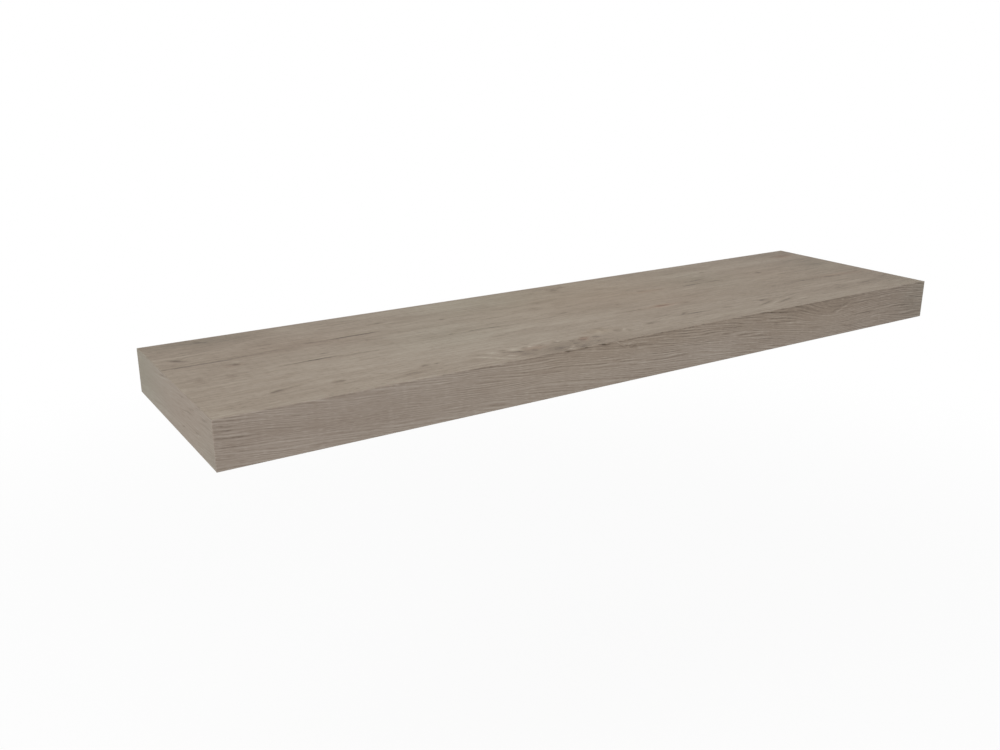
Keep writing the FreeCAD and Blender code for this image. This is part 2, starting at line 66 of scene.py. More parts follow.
# Camera, at the photograph's angle. It looks at a point near the board's middle.
photoView = {
    "azimuth": -32.817,
    "elevation": 18.23,
    "distance": 1.1933,
    "aimBesideMiddle": (-0.117, 0, -0.0378),
    "focalPixels": 1000.8,
    "pictureWidth": 1000,
    "sensorWidth": 36,
    "farthest": 60,
}


def setCamera():
    turn = math.radians(photoView["azimuth"])
    rise = math.radians(photoView["elevation"])
    back = Vector((math.sin(turn) * math.cos(rise), -math.cos(turn) * math.cos(rise), math.sin(rise)))
    aim = (cadLow + cadHigh) / 2 + Vector(photoView["aimBesideMiddle"])
    bpy.ops.object.camera_add(location=aim + back * photoView["distance"])
    camera = bpy.context.object
    camera.name = "photoCamera"
    camera.rotation_mode = "QUATERNION"
    camera.rotation_quaternion = (-back).to_track_quat("-Z", "Y")
    camera.data.sensor_width = photoView["sensorWidth"]
    camera.data.lens = photoView["focalPixels"] / photoView["pictureWidth"] * photoView["sensorWidth"]
    camera.data.clip_end = photoView["farthest"]
    bpy.context.scene.camera = camera


setCamera()
print("camera set")


# Small tools for building materials.
def plug(tree, socket, value):
    if isinstance(value, bpy.types.NodeSocket):
        tree.links.new(value, socket)
    else:
        socket.default_value = value


def plugAll(tree, node, sockets):
    for name, value in sockets.items():
        plug(tree, node.inputs[name], value)


def put(tree, kind, choices, sockets):
    node = tree.nodes.new(kind)
    for name, value in choices.items():
        setattr(node, name, value)
    plugAll(tree, node, sockets)
    return node


def calc(tree, operation, *values):
    node = tree.nodes.new("ShaderNodeMath")
    node.operation = operation
    for socket, value in zip(node.inputs, values):
        plug(tree, socket, value)
    return node.outputs[0]


def timesPlus(tree, value, factor, plus):
    return calc(tree, "MULTIPLY_ADD", value, factor, plus)


def vectorCalc(tree, operation, first, second):
    return put(tree, "ShaderNodeVectorMath", {"operation": operation}, {0: first, 1: second}).outputs


# The distance that two distances at right angles make together.
def diagonal(tree, first, second):
    squares = calc(tree, "ADD", calc(tree, "POWER", first, 2), calc(tree, "POWER", second, 2))
    return calc(tree, "SQRT", squares)


# Turns a screen colour, with 255 as its brightest, into the linear one that materials use.
def fromSrgb(red, green, blue):
    linear = []
    for value in (red, green, blue):
        share = value / 255
        linear.append(share / 12.92 if share < 0.04045 else ((share + 0.055) / 1.055) ** 2.4)
    return (*linear, 1)


def ramp(tree, factor, stops):
    node = tree.nodes.new("ShaderNodeValToRGB")
    tree.links.new(factor, node.inputs[0])
    edges = node.color_ramp.elements
    while len(edges) < len(stops):
        edges.new(0.5)
    for edge, (position, color) in zip(edges, stops):
        edge.position = position
        edge.color = fromSrgb(*color)
    return node.outputs[0]


def mapped(tree, value, fromMin, fromMax, toMin=0.0, toMax=1.0, interpolation="LINEAR"):
    choices = {"clamp": True, "interpolation_type": interpolation}
    sockets = {"Value": value, "From Min": fromMin, "From Max": fromMax, "To Min": toMin, "To Max": toMax}
    return put(tree, "ShaderNodeMapRange", choices, sockets).outputs[0]


def tinted(tree, share, color, tint):
    choices = {"data_type": "RGBA", "blend_type": "MULTIPLY"}
    return put(tree, "ShaderNodeMix", choices, {"Factor": share, 6: color, 7: tint}).outputs[2]


def paint(tree, shader, color, roughness, specular):
    look = {"Base Color": color, "Roughness": roughness, "Specular IOR Level": specular}
    plugAll(tree, shader, look)


def addBump(tree, shader, height, strength, depth):
    bump = put(tree, "ShaderNodeBump", {}, {"Strength": strength, "Distance": depth, "Height": height})
    tree.links.new(bump.outputs[0], shader.inputs["Normal"])


def startMaterial(name):
    material = bpy.data.materials.new(name)
    material.use_nodes = True
    tree = material.node_tree
    shader = tree.nodes["Principled BSDF"]
    return material, tree, shader


def objectPlace(tree):
    coordinates = tree.nodes.new("ShaderNodeTexCoord")
    return put(tree, "ShaderNodeSeparateXYZ", {}, {"Vector": coordinates.outputs["Object"]}).outputs


def flatPlace(tree, along, across):
    return put(tree, "ShaderNodeCombineXYZ", {}, {"X": along, "Y": across}).outputs[0]


# Noise stretched to a length and a width in millimetres, centred on zero.
def stretchedNoise(tree, along, across, length, width, seed, detail):
    alongLumps = timesPlus(tree, along, 1 / length, seed)
    acrossLumps = timesPlus(tree, across, 1 / width, seed)
    spot = flatPlace(tree, alongLumps, acrossLumps)
    sockets = {"Vector": spot, "Scale": 1, "Detail": detail}
    noise = put(tree, "ShaderNodeTexNoise", {"noise_dimensions": "2D"}, sockets).outputs[0]
    return calc(tree, "SUBTRACT", noise, 0.5)


# The place in space counted in lumps of the given sizes along x, y and z.
def inLumps(tree, lump, seed):
    coordinates = tree.nodes.new("ShaderNodeTexCoord")
    sockets = {
        "Vector": coordinates.outputs["Object"],
        "Location": (seed,) * 3,
        "Scale": tuple(1 / size for size in lump),
    }
    return put(tree, "ShaderNodeMapping", {}, sockets).outputs[0]


# Noise in space with lumps of the given sizes, centred on zero.
def solidNoise(tree, lump, seed, detail=3, distortion=0.0):
    place = inLumps(tree, lump, seed)
    sockets = {"Vector": place, "Scale": 1, "Detail": detail, "Distortion": distortion}
    noise = put(tree, "ShaderNodeTexNoise", {}, sockets).outputs[0]
    return calc(tree, "SUBTRACT", noise, 0.5)


# A node group for one soft mark: 1 at its centre, fading out over its reach, turned by an angle.
def makeMarkGroup():
    group = bpy.data.node_groups.new("softMark", "ShaderNodeTree")
    for name, kind in (
        ("Place", "NodeSocketVector"),
        ("Centre", "NodeSocketVector"),
        ("Reach", "NodeSocketVector"),
        ("Turn", "NodeSocketFloat"),
    ):
        group.interface.new_socket(name=name, in_out="INPUT", socket_type=kind)
    group.interface.new_socket(name="Mark", in_out="OUTPUT", socket_type="NodeSocketFloat")
    given = group.nodes.new("NodeGroupInput").outputs
    result = group.nodes.new("NodeGroupOutput")
    sockets = {"Vector": given["Place"], "Center": given["Centre"], "Angle": given["Turn"]}
    turned = put(group, "ShaderNodeVectorRotate", {"rotation_type": "Z_AXIS"}, sockets).outputs[0]
    offset = vectorCalc(group, "SUBTRACT", turned, given["Centre"])[0]
    scaled = vectorCalc(group, "DIVIDE", offset, given["Reach"])[0]
    square = vectorCalc(group, "DOT_PRODUCT", scaled, scaled)["Value"]
    fade = calc(group, "EXPONENT", calc(group, "MULTIPLY", square, -1))
    group.links.new(fade, result.inputs[0])
    return group


markGroup = makeMarkGroup()


# Adds up marks given as (along, across, reach along, reach across, strength, turn in degrees). The turn may
# be left out, and with a positive one the mark rises towards its right end.
def addMarks(tree, place, marks, total):
    for along, across, reachAlong, reachAcross, strength, *turn in marks:
        sockets = {
            "Place": place,
            "Centre": (along, across, 0),
            "Reach": (reachAlong, reachAcross, 1),
            "Turn": math.radians(sum(turn)),
        }
        mark = put(tree, "ShaderNodeGroup", {"node_tree": markGroup}, sockets).outputs[0]
        total = timesPlus(tree, mark, strength, total)
    return total


# Grey oak decor. Each face has its own figure, in millimetres along the grain and across it. Both ways are
# given by the number of an axis, its sign, and where the object's origin lies on the way.
# Wide shade marks lighten or darken a stretch; they are partly the decor's own cloudy tone and partly painted
# light and shade where the light falls off, darker mostly towards the right end. Lively marks strengthen the
# fine grain (or calm it, below zero), swirls bend it, streaks are seams (lighter below zero), and knots are
# dark spots. The wash tints all tones.
oakTones = [
    (0.0, (80, 69, 59)), (0.22, (113, 102, 90)), (0.42, (138, 126, 113)), (0.58, (152, 142, 130)),
    (0.78, (166, 157, 145)), (1.0, (182, 174, 163)),
]
oakTints = {"reddish": (255, 222, 208), "yellowish": (255, 249, 236), "greenish": (247, 255, 254)}

topFace = {
    "along": (0, 1, 500),
    "across": (1, -1, 0),
    "seed": 3.7,
    "drift": 7,
    "slope": 0,
    "lively": [
        (620, 110, 140, 50, -0.35), (860, 80, 80, 60, -0.25), (430, 180, 90, 24, -0.5),
        (460, 86, 60, 26, -0.5), (390, 238, 110, 22, -0.3), (760, 170, 60, 24, -0.4),
        (840, 24, 90, 22, -0.3),
    ],
    "level": 0.5,
    "wash": (0.987, 0.974, 0.952),
    "weights": {
        "broad": 0.2, "cloud": 0.17, "patch": 0.16, "ring": 0.2, "streak": 0.38,
        "line": 0.02, "fibre": 0.26, "pore": 0.2, "glint": 0.03,
    },
    "sizes": {"patch": (34, 9), "ring": (420, 2.6), "streak": (58, 1.6), "line": 8, "fibre": (24, 0.7)},
    # wide marks, partly painted shade: the right end is darkened where the light falls off
    "toneAndShade": [
        (265, 178, 210, 80, 0.065), (392, 246, 75, 17, -0.12), (60, 18, 90, 38, -0.15),
        (170, 90, 110, 34, -0.05), (30, 150, 55, 50, -0.04), (395, 24, 110, 40, 0.08),
        (350, 155, 50, 30, 0.03), (555, 228, 60, 26, 0.025), (100, 230, 130, 34, 0.05),
        (700, 160, 120, 40, 0.025), (985, 130, 75, 210, -0.075), (820, 110, 90, 22, -0.045),
        (530, 12, 30, 16, -0.05), (962, 16, 60, 30, -0.05),
    ],
    "swirls": [
        (23, 72, 17, 8, -7), (345, 228, 34, 11, -9, 8), (400, 243, 40, 9, 7, -4), (455, 225, 38, 9, -7),
        (540, 222, 16, 8, -6), (615, 214, 30, 6, 4), (750, 222, 52, 10, -9, 3), (715, 99, 22, 5, 4),
        (880, 212, 30, 8, 6, -5),
    ],
    "streaks": [
        (18, 95, 30, 1.3, 0.32), (84, 93.5, 34, 1.6, 0.2, 2), (165, 83, 4, 1.6, 0.28),
        (182, 83, 22, 1.2, 0.18), (216, 82.3, 20, 1.4, 0.48), (238, 81, 14, 1.2, 0.3),
        (118, 145, 14, 1.4, 0.24), (150, 143.6, 21, 1.4, 0.6), (193, 146.5, 22, 1.2, 0.3),
        (197, 170, 16, 1.8, 0.16), (277, 168, 14, 2.4, 0.16, 4), (314, 136, 6, 1.6, 0.23),
        (346, 136, 9, 1.7, 0.26), (367, 137, 12, 1.7, 0.27, -4), (355, 171, 10, 1.8, 0.2),
        (390, 164.5, 26, 1.8, 0.16, 5), (390, 102.5, 12, 2.6, 0.18), (93, 214, 17, 2, 0.18, 10),
        (50, 225, 7, 1.8, 0.16, -10), (182, 222, 9, 1.8, 0.16, -25), (712, 100.5, 17, 1.9, 0.34),
        (748, 100.5, 12, 2.2, 0.28), (762, 101, 8, 2.2, 0.24), (736, 84, 16, 2.8, 0.18, 5),
        (560, 167, 26, 3.6, 0.19), (636, 170, 8, 2.8, 0.17), (868, 165, 78, 6.5, 0.11, -2),
        (599, 210, 9, 2.2, 0.22, 28), (615, 215.5, 24, 1.8, 0.3, -3), (20, 58, 22, 3, -0.1),
        (74, 105, 7, 2.4, -0.14, -25), (758, 64, 8, 3.6, -0.12, 20), (299, 233.3, 10, 2, -0.28, -35),
        (313, 244.5, 10, 1.8, -0.27, -35), (313.5, 225, 6, 4, -0.2, -30), (339, 225.5, 8, 4, -0.15, -30),
        (324, 241, 4, 2, -0.26, -20), (330, 244, 6, 2.4, -0.16, -30), (360, 224.5, 3, 2, -0.3),
        (297, 221.5, 11, 3.6, 0.15, -20), (327.5, 222, 5, 3.4, 0.26, -20),
        (333, 231.5, 14, 2.2, 0.24, -24), (342, 234, 3.6, 2, 0.29, -25), (352.5, 225.5, 5, 2.8, 0.24, 20),
        (360, 215.5, 4, 2.4, 0.24, -30), (396, 225, 3, 1.6, -0.26), (401, 249, 3.4, 1.8, -0.3, 30),
        (394, 254.5, 3.4, 1.8, -0.3), (468, 207, 6, 3, 0.14, -20), (492, 225.5, 4, 1.6, -0.2, 40),
        (723, 227.5, 19, 1.9, 0.29, 18), (756, 229.5, 18, 1.8, 0.24, 18), (735, 231, 16, 1.4, -0.18, 18),
        (771, 218.5, 6, 1.8, -0.2, 20), (785, 232.5, 10, 1.5, -0.18), (781, 237.5, 13, 1.7, 0.18, 2),
        (980, 204, 12, 3.4, 0.16),
    ],
    "knots": [
        (23.5, 72, 9.5, 2.8, 0.4, -35), (62, 15, 5, 3.2, 0.17, -30), (70, 19, 3, 2.4, 0.2),
        (70.5, 115.5, 5.5, 2.4, 0.28, -25), (55, 149, 4, 3.6, 0.18), (24, 146, 5, 8, 0.12),
        (118, 63, 18, 7, 0.13), (228, 107, 15, 6, 0.15), (263, 50, 9, 2.6, 0.22, 4),
        (163, 128, 5, 1.8, 0.18), (76, 218, 8, 3.2, 0.32, 6), (138, 221.5, 8, 3.6, 0.33),
        (208, 240, 17, 6.5, 0.21), (231, 223, 6, 2.6, 0.28, 30), (247, 223, 3, 2.2, 0.28),
        (336, 75, 3.2, 2.2, 0.31), (459, 92, 11, 6, 0.1, 10), (477, 71, 9, 6, 0.1, 25),
        (497, 87, 10, 5, 0.09, 10), (475, 129, 6, 2, 0.2, 12), (341, 246, 9, 7, 0.1),
        (372, 227, 5, 3, 0.2, 10), (357, 237.5, 6, 3.4, 0.18, -15), (393, 226, 5, 3, 0.28, -20),
        (384, 245, 11, 7, 0.14), (411, 256.5, 6, 3.4, 0.25, 20), (410.5, 242, 3.4, 3.4, 0.23),
        (413.6, 231, 2.8, 2, 0.3, 30), (424, 233, 6, 3.4, 0.24, 35), (432, 228.5, 4, 3, 0.2, 35),
        (444.5, 232.7, 4.5, 2.8, 0.28, 40), (439, 248, 2.8, 2.4, 0.24, 40), (461, 216, 5, 3.6, -0.16),
        (482, 226, 5, 3.2, 0.24, 45), (495.5, 232, 4, 2.8, 0.24, 40), (534, 25, 8.5, 6, 0.27, 35),
        (551, 17, 8, 3.6, 0.17), (498, 28, 4, 3, 0.14), (592, 52, 13, 6, 0.11), (534, 222, 6, 4, 0.3, 20),
        (546, 222, 4, 2.6, 0.18), (559, 132, 3, 2.4, 0.24), (604, 166, 13, 3.4, 0.21),
        (632, 94, 7, 4, 0.13), (658, 97, 8, 3, 0.13), (667, 216, 8, 3.2, 0.18), (730, 215, 6, 3, 0.36),
        (779, 51, 5.5, 3.6, 0.2), (801, 167, 5, 2.6, 0.2), (847, 95, 5, 2.8, 0.25, 20),
        (862, 165, 5, 2.6, 0.16), (912, 167, 8, 2.8, 0.22), (930, 170, 4, 2.4, 0.16),
        (875, 120, 14, 4, 0.11), (962, 97, 17, 5, 0.13), (881, 208, 5, 2.4, 0.22),
        (869, 221, 4, 2.4, 0.16), (924, 218, 16, 4, 0.15, 8), (975, 163, 10, 3, 0.16),
        (878, 32, 6, 2.8, 0.11), (965, 33, 14, 6, 0.12),
    ],
    "reddish": [
        (429, 232, 8, 4, 0.6, 30), (363, 232, 12, 6, 0.32), (603, 166, 12, 4.5, 0.5),
        (600, 167, 38, 4, 0.22), (965, 33, 16, 8, 0.45), (640, 97, 26, 4, 0.25),
        (940, 165, 50, 5, 0.28, -4), (68, 117, 9, 3.6, 0.24), (150, 80, 80, 26, 0.09),
        (565, 100, 80, 46, 0.07), (650, 150, 60, 34, 0.06), (850, 100, 50, 36, 0.07),
    ],
    "yellowish": [(540, 50, 190, 100, 0.45), (860, 130, 200, 90, 0.16), (461, 217, 18, 9, 0.5)],
    "greenish": [
        (410, 30, 100, 44, 0.6), (310, 135, 80, 60, 0.4), (745, 75, 50, 56, 0.34),
        (965, 110, 44, 50, 0.36), (990, 240, 44, 30, 0.34), (50, 12, 60, 16, 0.4),
    ],
}

undersideFace = {
    **topFace,
    "seed": 41.3,
    "drift": 9,
    "lively": [],
    "wash": (0.99, 0.98, 0.965),
    "weights": {**topFace["weights"], "broad": 0.24, "ring": 0.22, "streak": 0.5, "fibre": 0.36},
    "toneAndShade": [(300, 90, 180, 50, 0.05), (760, 190, 160, 40, -0.06)],
    "swirls": [(260, 150, 60, 14, 12), (690, 90, 46, 10, -9), (820, 200, 34, 9, 7)],
    "streaks": [
        (180, 60, 60, 1.1, 0.26), (420, 205, 52, 1, 0.3), (560, 118, 40, 0.9, 0.26),
        (905, 140, 48, 1.3, 0.22),
    ],
    "knots": [(262, 149, 8, 3, 0.28), (690, 90, 7, 2.6, 0.24)],
    "reddish": [(262, 149, 9, 3.4, 0.3)],
    "yellowish": [(620, 120, 200, 80, 0.3)],
    "greenish": [(330, 60, 120, 50, 0.4)],
}

frontFace = {
    "along": (0, 1, 500),
    "across": (2, -1, 25),
    "seed": 12.9,
    "drift": 3.2,
    "slope": 5,
    "lively": [
        (0, 25, 350, 100, -0.12), (30, 20, 40, 14, -0.2), (150, 21, 75, 13, -0.7),
        (560, 20, 60, 16, 0.35), (805, 5, 75, 12, -0.6), (420, 6, 60, 10, -0.25),
        (250, 44, 250, 9, -0.15), (980, 20, 60, 40, 0.4), (855, 42, 50, 10, 0.3),
    ],
    "level": 0.468,
    "wash": (0.989, 0.985, 0.995),
    "weights": {
        "broad": 0.15, "cloud": 0.12, "patch": 0.06, "ring": 0.14, "streak": 0.23,
        "line": 0.09, "fibre": 0.19, "pore": 0.08, "glint": 0.12,
    },
    "sizes": {"patch": (24, 6), "ring": (240, 1.5), "streak": (42, 1.2), "line": 2.6, "fibre": (20, 0.55)},
    # wide marks lighten the left half and darken the right end: partly the decor's tone, partly painted light
    # and shade where the lamp's light falls off
    "toneAndShade": [
        (250, 25, 270, 60, 0.035), (40, 8, 60, 12, 0.02), (350, 40, 50, 14, -0.025),
        (780, 6, 170, 14, -0.095), (900, 30, 150, 30, -0.02), (520, 6, 300, 14, -0.025),
        (590, 36, 60, 10, 0.04), (965, 38, 46, 20, -0.085),
    ],
    "swirls": [(806, 20, 62, 26, -12), (460, 2, 16, 8, -3), (330, 38, 70, 9, 3)],
    "streaks": [
        # the first streak darkens a thin line along the whole top edge
        (500, 0.6, 520, 1.3, 0.13), (8, 8, 12, 1.2, 0.13, -6), (6, 12.5, 10, 0.9, 0.12),
        (10, 10.5, 12, 0.7, -0.12, -6), (18, 18, 24, 0.7, -0.16, -8), (22, 21, 20, 0.8, 0.1, -8),
        (18, 29, 16, 1.1, 0.11, -6), (8, 37, 10, 1, 0.12), (386, 0.8, 4.5, 1.3, 0.24),
        (409, 0.8, 4, 1.3, 0.24), (436, 1.5, 6, 1.5, 0.22, -8), (456, 2.6, 5, 0.8, -0.26, -36),
        (469, 5, 10, 0.8, -0.22, -6), (459, 5.2, 6, 0.9, 0.2, -30), (474, 8, 14, 0.9, 0.2, -9),
        (488, 6.4, 16, 0.8, -0.16, -8), (493, 9.4, 18, 0.8, 0.13, -9), (220, 1, 10, 0.9, -0.14),
        (636, 12, 14, 1, 0.14, -4), (718, 5.5, 26, 0.8, 0.14, -11), (722, 8, 26, 0.7, -0.13, -11),
        (752, 8.5, 16, 0.8, 0.13, -12), (712, 3.2, 30, 0.8, 0.1, -7), (712, 9.5, 30, 0.7, -0.18, -8),
        (716, 11.2, 30, 0.7, 0.16, -8), (726, 16.8, 22, 0.8, 0.18, -8), (700, 13.5, 30, 0.8, 0.14, -10),
        (702, 12, 26, 0.7, -0.12, -9), (735, 11, 22, 0.8, 0.15, -12), (712, 15.5, 34, 0.7, -0.16, -11),
        (740, 20, 30, 0.7, -0.13, -9), (690, 25, 36, 0.7, -0.13, -8), (660, 23, 26, 0.7, -0.11, -8),
        (688, 28.5, 34, 0.8, 0.12, -8), (676, 31, 34, 0.8, -0.13, -8), (690, 34.5, 30, 0.8, 0.11, -8),
        (478, 11.5, 6, 1.6, 0.14, -8), (458, 24, 9, 1.8, 0.14, -12), (477, 31, 6, 1.4, 0.16, -8),
        (898, 34.5, 9, 0.9, -0.2, 6), (845, 40, 12, 1.4, 0.16, -8), (957, 28, 5, 1.4, 0.16),
        (818, 15, 10, 0.8, 0.16, 14), (826, 17, 12, 0.8, -0.15, 14), (838, 9, 10, 0.8, 0.12, 14),
        (836, 13, 10, 0.8, -0.13, 14), (857, 24, 14, 0.8, 0.12, -8),
    ],
    "knots": [(884, 27, 12, 2.2, 0.12), (775, 34, 14, 2, 0.08)],
    "reddish": [(60, 20, 120, 60, 0.04)],
    "yellowish": [(400, 16, 150, 40, 0.3), (780, 16, 150, 34, 0.34), (560, 4, 200, 16, 0.24)],
    "greenish": [(990, 14, 36, 40, 0.45)],
}

leftEndFace = {
    "along": (1, -1, 0),
    "across": (2, -1, 25),
    "seed": 27.1,
    "drift": 3,
    "slope": -2,
    "lively": [(70, 15, 90, 24, -0.5)],
    "level": 0.492,
    "wash": (0.989, 0.99, 0.987),
    "weights": {
        "broad": 0.14, "cloud": 0.1, "patch": 0.04, "ring": 0.16, "streak": 0.27,
        "line": 0.02, "fibre": 0.26, "pore": 0.06, "glint": 0.05,
    },
    "sizes": {"patch": (24, 6), "ring": (240, 2), "streak": (46, 1.4), "line": 3, "fibre": (20, 0.6)},
    # wide marks, partly painted light and shade: the back end and top strip darker, the lower front lighter
    "toneAndShade": [(130, 4, 140, 10, -0.03), (20, 10, 70, 30, -0.035), (240, 40, 70, 24, 0.025)],
    "swirls": [(180, 16, 30, 6, 3, -6)],
    "streaks": [
        # the first streak darkens the band's rounded top edge along its length: partly the band's own tone,
        # partly painted shade over the light this edge catches
        (130, -0.3, 400, 0.7, 0.05), (170, 5, 14, 1, 0.08, 6), (180, 17, 20, 1, 0.16, 8),
        (200, 9, 12, 0.9, 0.12, 8), (236, 8, 10, 1.2, 0.14, 12), (66, 41, 22, 1.2, 0.1, 6),
        (210, 29, 9, 1, 0.11, 10), (214, 30.5, 8, 0.8, -0.14, 10), (164, 37, 5, 1, 0.18, 14),
        (176, 18.5, 12, 0.8, -0.14, 8), (100, 2.5, 22, 0.8, 0.14, 8), (104, 4.5, 22, 0.7, -0.12, 8),
        (168, 4.6, 9, 1, 0.07, 8), (216, 2.6, 9, 0.9, 0.14, 8),
    ],
    "knots": [],
    "reddish": [(180, 20, 80, 60, 0.1)],
    "yellowish": [(0, 20, 60, 60, 0.22)],
    "greenish": [(5, 25, 70, 80, 0.95), (255, 50, 40, 20, 0.5)],
}

rightEndFace = {
    **leftEndFace,
    "seed": 63.4,
    "lively": [],
    "swirls": [(90, 30, 26, 7, -3, 6)],
    "streaks": [(60, 12, 18, 1, 0.14, -6), (132, 33, 24, 1.1, 0.14, 4), (214, 20, 14, 0.9, 0.12, -8)],
    "greenish": [(140, 25, 120, 60, 0.5)],
}

# The decor's noises: a number that is added to the face's seed, the detail, and a lump's length and width in
# millimetres. Where these two are missing, they depend on the face.
oakNoises = {
    "wave": (0, 1, 230, 60),
    "broad": (1, 2, 420, 24),
    "cloud": (2, 2, 120, 46),
    "ring": (3, 3),
    "streak": (4, 3),
    "ripple": (5, 1, 30, 9),
    "fibre": (6, 2),
    "wobble": (7, 1, 40, 30),
    "broken": (8, 2, 5, 2.2),
    "ragged": (9, 2, 10, 4),
    "pore": (10, 1, 9, 0.42),
    "uneven": (11, 1),
    "swell": (12, 1),
    "patch": (13, 2),
    "glint": (14, 1, 8, 0.6),
}

# What all faces share besides: how strongly those noises work, and the foil's surface.
oakGrain = {
    "ripple": 1.1,
    "wobble": 3.0,
    "broken": 2.4,
    "raggedAlong": 14,
    "raggedAcross": 5,
    "dashLimits": (0.07, 0.2),
    "unevenLength": 150,
    "unevenLines": 5,
    "unevenShift": 4,
    "swellLength": 34,
    "swellLines": 1.4,
    "swellLimits": (-0.2, 0.2, 0, 2),
    "roughness": 0.62,
    "streakRoughness": 0.14,
    "specular": 0.28,
    "poreRelief": 0.9,
    "bump": (0.35, 0.04 * mm),
}


def oakNoise(tree, face, name, along, across, lump=None):
    number, detail, *shared = oakNoises[name]
    length, width = lump or face["sizes"].get(name, shared)
    return stretchedNoise(tree, along, across, length, width, face["seed"] + number, detail)


# The grain's own height: how far across the plank the fibre at each place grew.
def grainHeight(tree, face, along, across):
    wave = oakNoise(tree, face, "wave", along, across)
    drifted = timesPlus(tree, wave, face["drift"], across)
    sloped = timesPlus(tree, along, -math.tan(math.radians(face["slope"])), drifted)
    swirled = addMarks(tree, flatPlace(tree, along, across), face["swirls"], sloped)
    ripple = oakNoise(tree, face, "ripple", along, across)
    return timesPlus(tree, ripple, oakGrain["ripple"], swirled)


# Evenly spaced fine lines that swell and fade. Their noises are a few lines wide.
def fineLines(tree, face, along, grain):
    spacing = face["sizes"]["line"]
    lump = (oakGrain["unevenLength"], oakGrain["unevenLines"] * spacing)
    uneven = oakNoise(tree, face, "uneven", along, grain, lump)
    phase = timesPlus(tree, uneven, oakGrain["unevenShift"] * spacing, grain)
    line = calc(tree, "SINE", calc(tree, "MULTIPLY", phase, math.tau / spacing))
    lump = (oakGrain["swellLength"], oakGrain["swellLines"] * spacing)
    swell = oakNoise(tree, face, "swell", along, grain, lump)
    return calc(tree, "MULTIPLY", line, mapped(tree, swell, *oakGrain["swellLimits"]))


# The listed seams, wavy and broken up by the fibres.
def brokenSeams(tree, face, along, across):
    wobble = oakNoise(tree, face, "wobble", along, across)
    wavy = flatPlace(tree, along, timesPlus(tree, wobble, oakGrain["wobble"], across))
    broken = oakNoise(tree, face, "broken", along, across)
    broken = timesPlus(tree, broken, oakGrain["broken"], 1)
    return calc(tree, "MULTIPLY", addMarks(tree, wavy, face["streaks"], 0), broken)


def oakDecor(name, face):
    material, tree, shader = startMaterial(name)
    place = objectPlace(tree)
    axis, sign, start = face["along"]
    along = timesPlus(tree, place[axis], sign / mm, start)
    axis, sign, start = face["across"]
    across = timesPlus(tree, place[axis], sign / mm, start)
    grain = grainHeight(tree, face, along, across)
    weights = face["weights"]

    # layers of tone, from wide marks (partly painted light and shade) to fine lines; the finer ones are
    # calmer or livelier in places
    flat = flatPlace(tree, along, across)
    lively = addMarks(tree, flat, face["lively"], 1)
    value = addMarks(tree, flat, face["toneAndShade"], face["level"])
    layers = {}
    for layer, height, strength in (
        ("broad", grain, 1),
        ("cloud", across, 1),
        ("patch", across, 1),
        ("ring", grain, lively),
        ("streak", grain, lively),
        ("fibre", grain, lively),
    ):
        layers[layer] = oakNoise(tree, face, layer, along, height)
        weight = calc(tree, "MULTIPLY", strength, weights[layer])
        value = timesPlus(tree, layers[layer], weight, value)
    line = fineLines(tree, face, along, grain)
    value = timesPlus(tree, line, calc(tree, "MULTIPLY", lively, weights["line"]), value)

    # listed seams, and knots with ragged outlines
    value = calc(tree, "SUBTRACT", value, brokenSeams(tree, face, along, across))
    ragged = oakNoise(tree, face, "ragged", along, across)
    raggedPlace = flatPlace(
        tree,
        timesPlus(tree, ragged, oakGrain["raggedAlong"], along),
        timesPlus(tree, ragged, oakGrain["raggedAcross"], across),
    )
    value = calc(tree, "SUBTRACT", value, addMarks(tree, raggedPlace, face["knots"], 0))

    # open pores are short dark dashes, and between them are short light ones
    pores = mapped(tree, oakNoise(tree, face, "pore", along, grain), *oakGrain["dashLimits"])
    value = calc(tree, "SUBTRACT", value, calc(tree, "MULTIPLY", pores, weights["pore"]))
    glints = mapped(tree, oakNoise(tree, face, "glint", along, grain), *oakGrain["dashLimits"])
    value = timesPlus(tree, glints, weights["glint"], value)

    tones = []
    for position, tone in oakTones:
        tones.append((position, tuple(level * share for level, share in zip(tone, face["wash"]))))
    color = ramp(tree, value, tones)
    for tint, rgb in oakTints.items():
        share = addMarks(tree, raggedPlace, face[tint], 0)
        color = tinted(tree, share, color, fromSrgb(*rgb))
    gloss = timesPlus(tree, layers["streak"], oakGrain["streakRoughness"], oakGrain["roughness"])
    paint(tree, shader, color, gloss, oakGrain["specular"])
    relief = calc(tree, "SUBTRACT", layers["fibre"], calc(tree, "MULTIPLY", pores, oakGrain["poreRelief"]))
    addBump(tree, shader, relief, *oakGrain["bump"])
    return material


def dress(material, *names):
    for name in names:
        mesh = cadNodes[name].data
        mesh.materials.clear()
        mesh.materials.append(material)


dress(oakDecor("oakTop", topFace), "top_decor_foil")
dress(oakDecor("oakUnderside", undersideFace), "bottom_decor_foil")
dress(oakDecor("oakFront", frontFace), "front_edge_band")
dress(oakDecor("oakLeftEnd", leftEndFace), "left_edge_band")
dress(oakDecor("oakRightEnd", rightEndFace), "right_edge_band")
print("oak decor made")


# Wood-based boards and paper inside the shelf, seen from the back and below.
# A weight says how much a layer changes the tone, and a bump is given by its strength and depth.
feltedLook = {
    "detail": 4,
    "distortion": 0.8,
    "fibreWeight": 0.8,
    "cloudWeight": 0.5,
    "specular": 0.3,
    "bump": (0.3, 0.1 * mm),
}

hardboardFinish = {
    "seed": 5.1,
    "tones": [(0.25, (118, 88, 64)), (0.5, (149, 120, 93)), (0.75, (172, 144, 116))],
    "fibre": (2.2 * mm, 2.2 * mm, 0.5 * mm),
    "cloud": (18 * mm, 18 * mm, 6 * mm),
    "roughness": 0.6,
}

kraftFinish = {
    "seed": 11.7,
    "tones": [(0.3, (158, 130, 98)), (0.5, (178, 151, 118)), (0.7, (196, 170, 137))],
    "fibre": (3.5 * mm, 1.2 * mm, 0.4 * mm),
    "cloud": (14 * mm,) * 3,
    "roughness": 0.85,
}

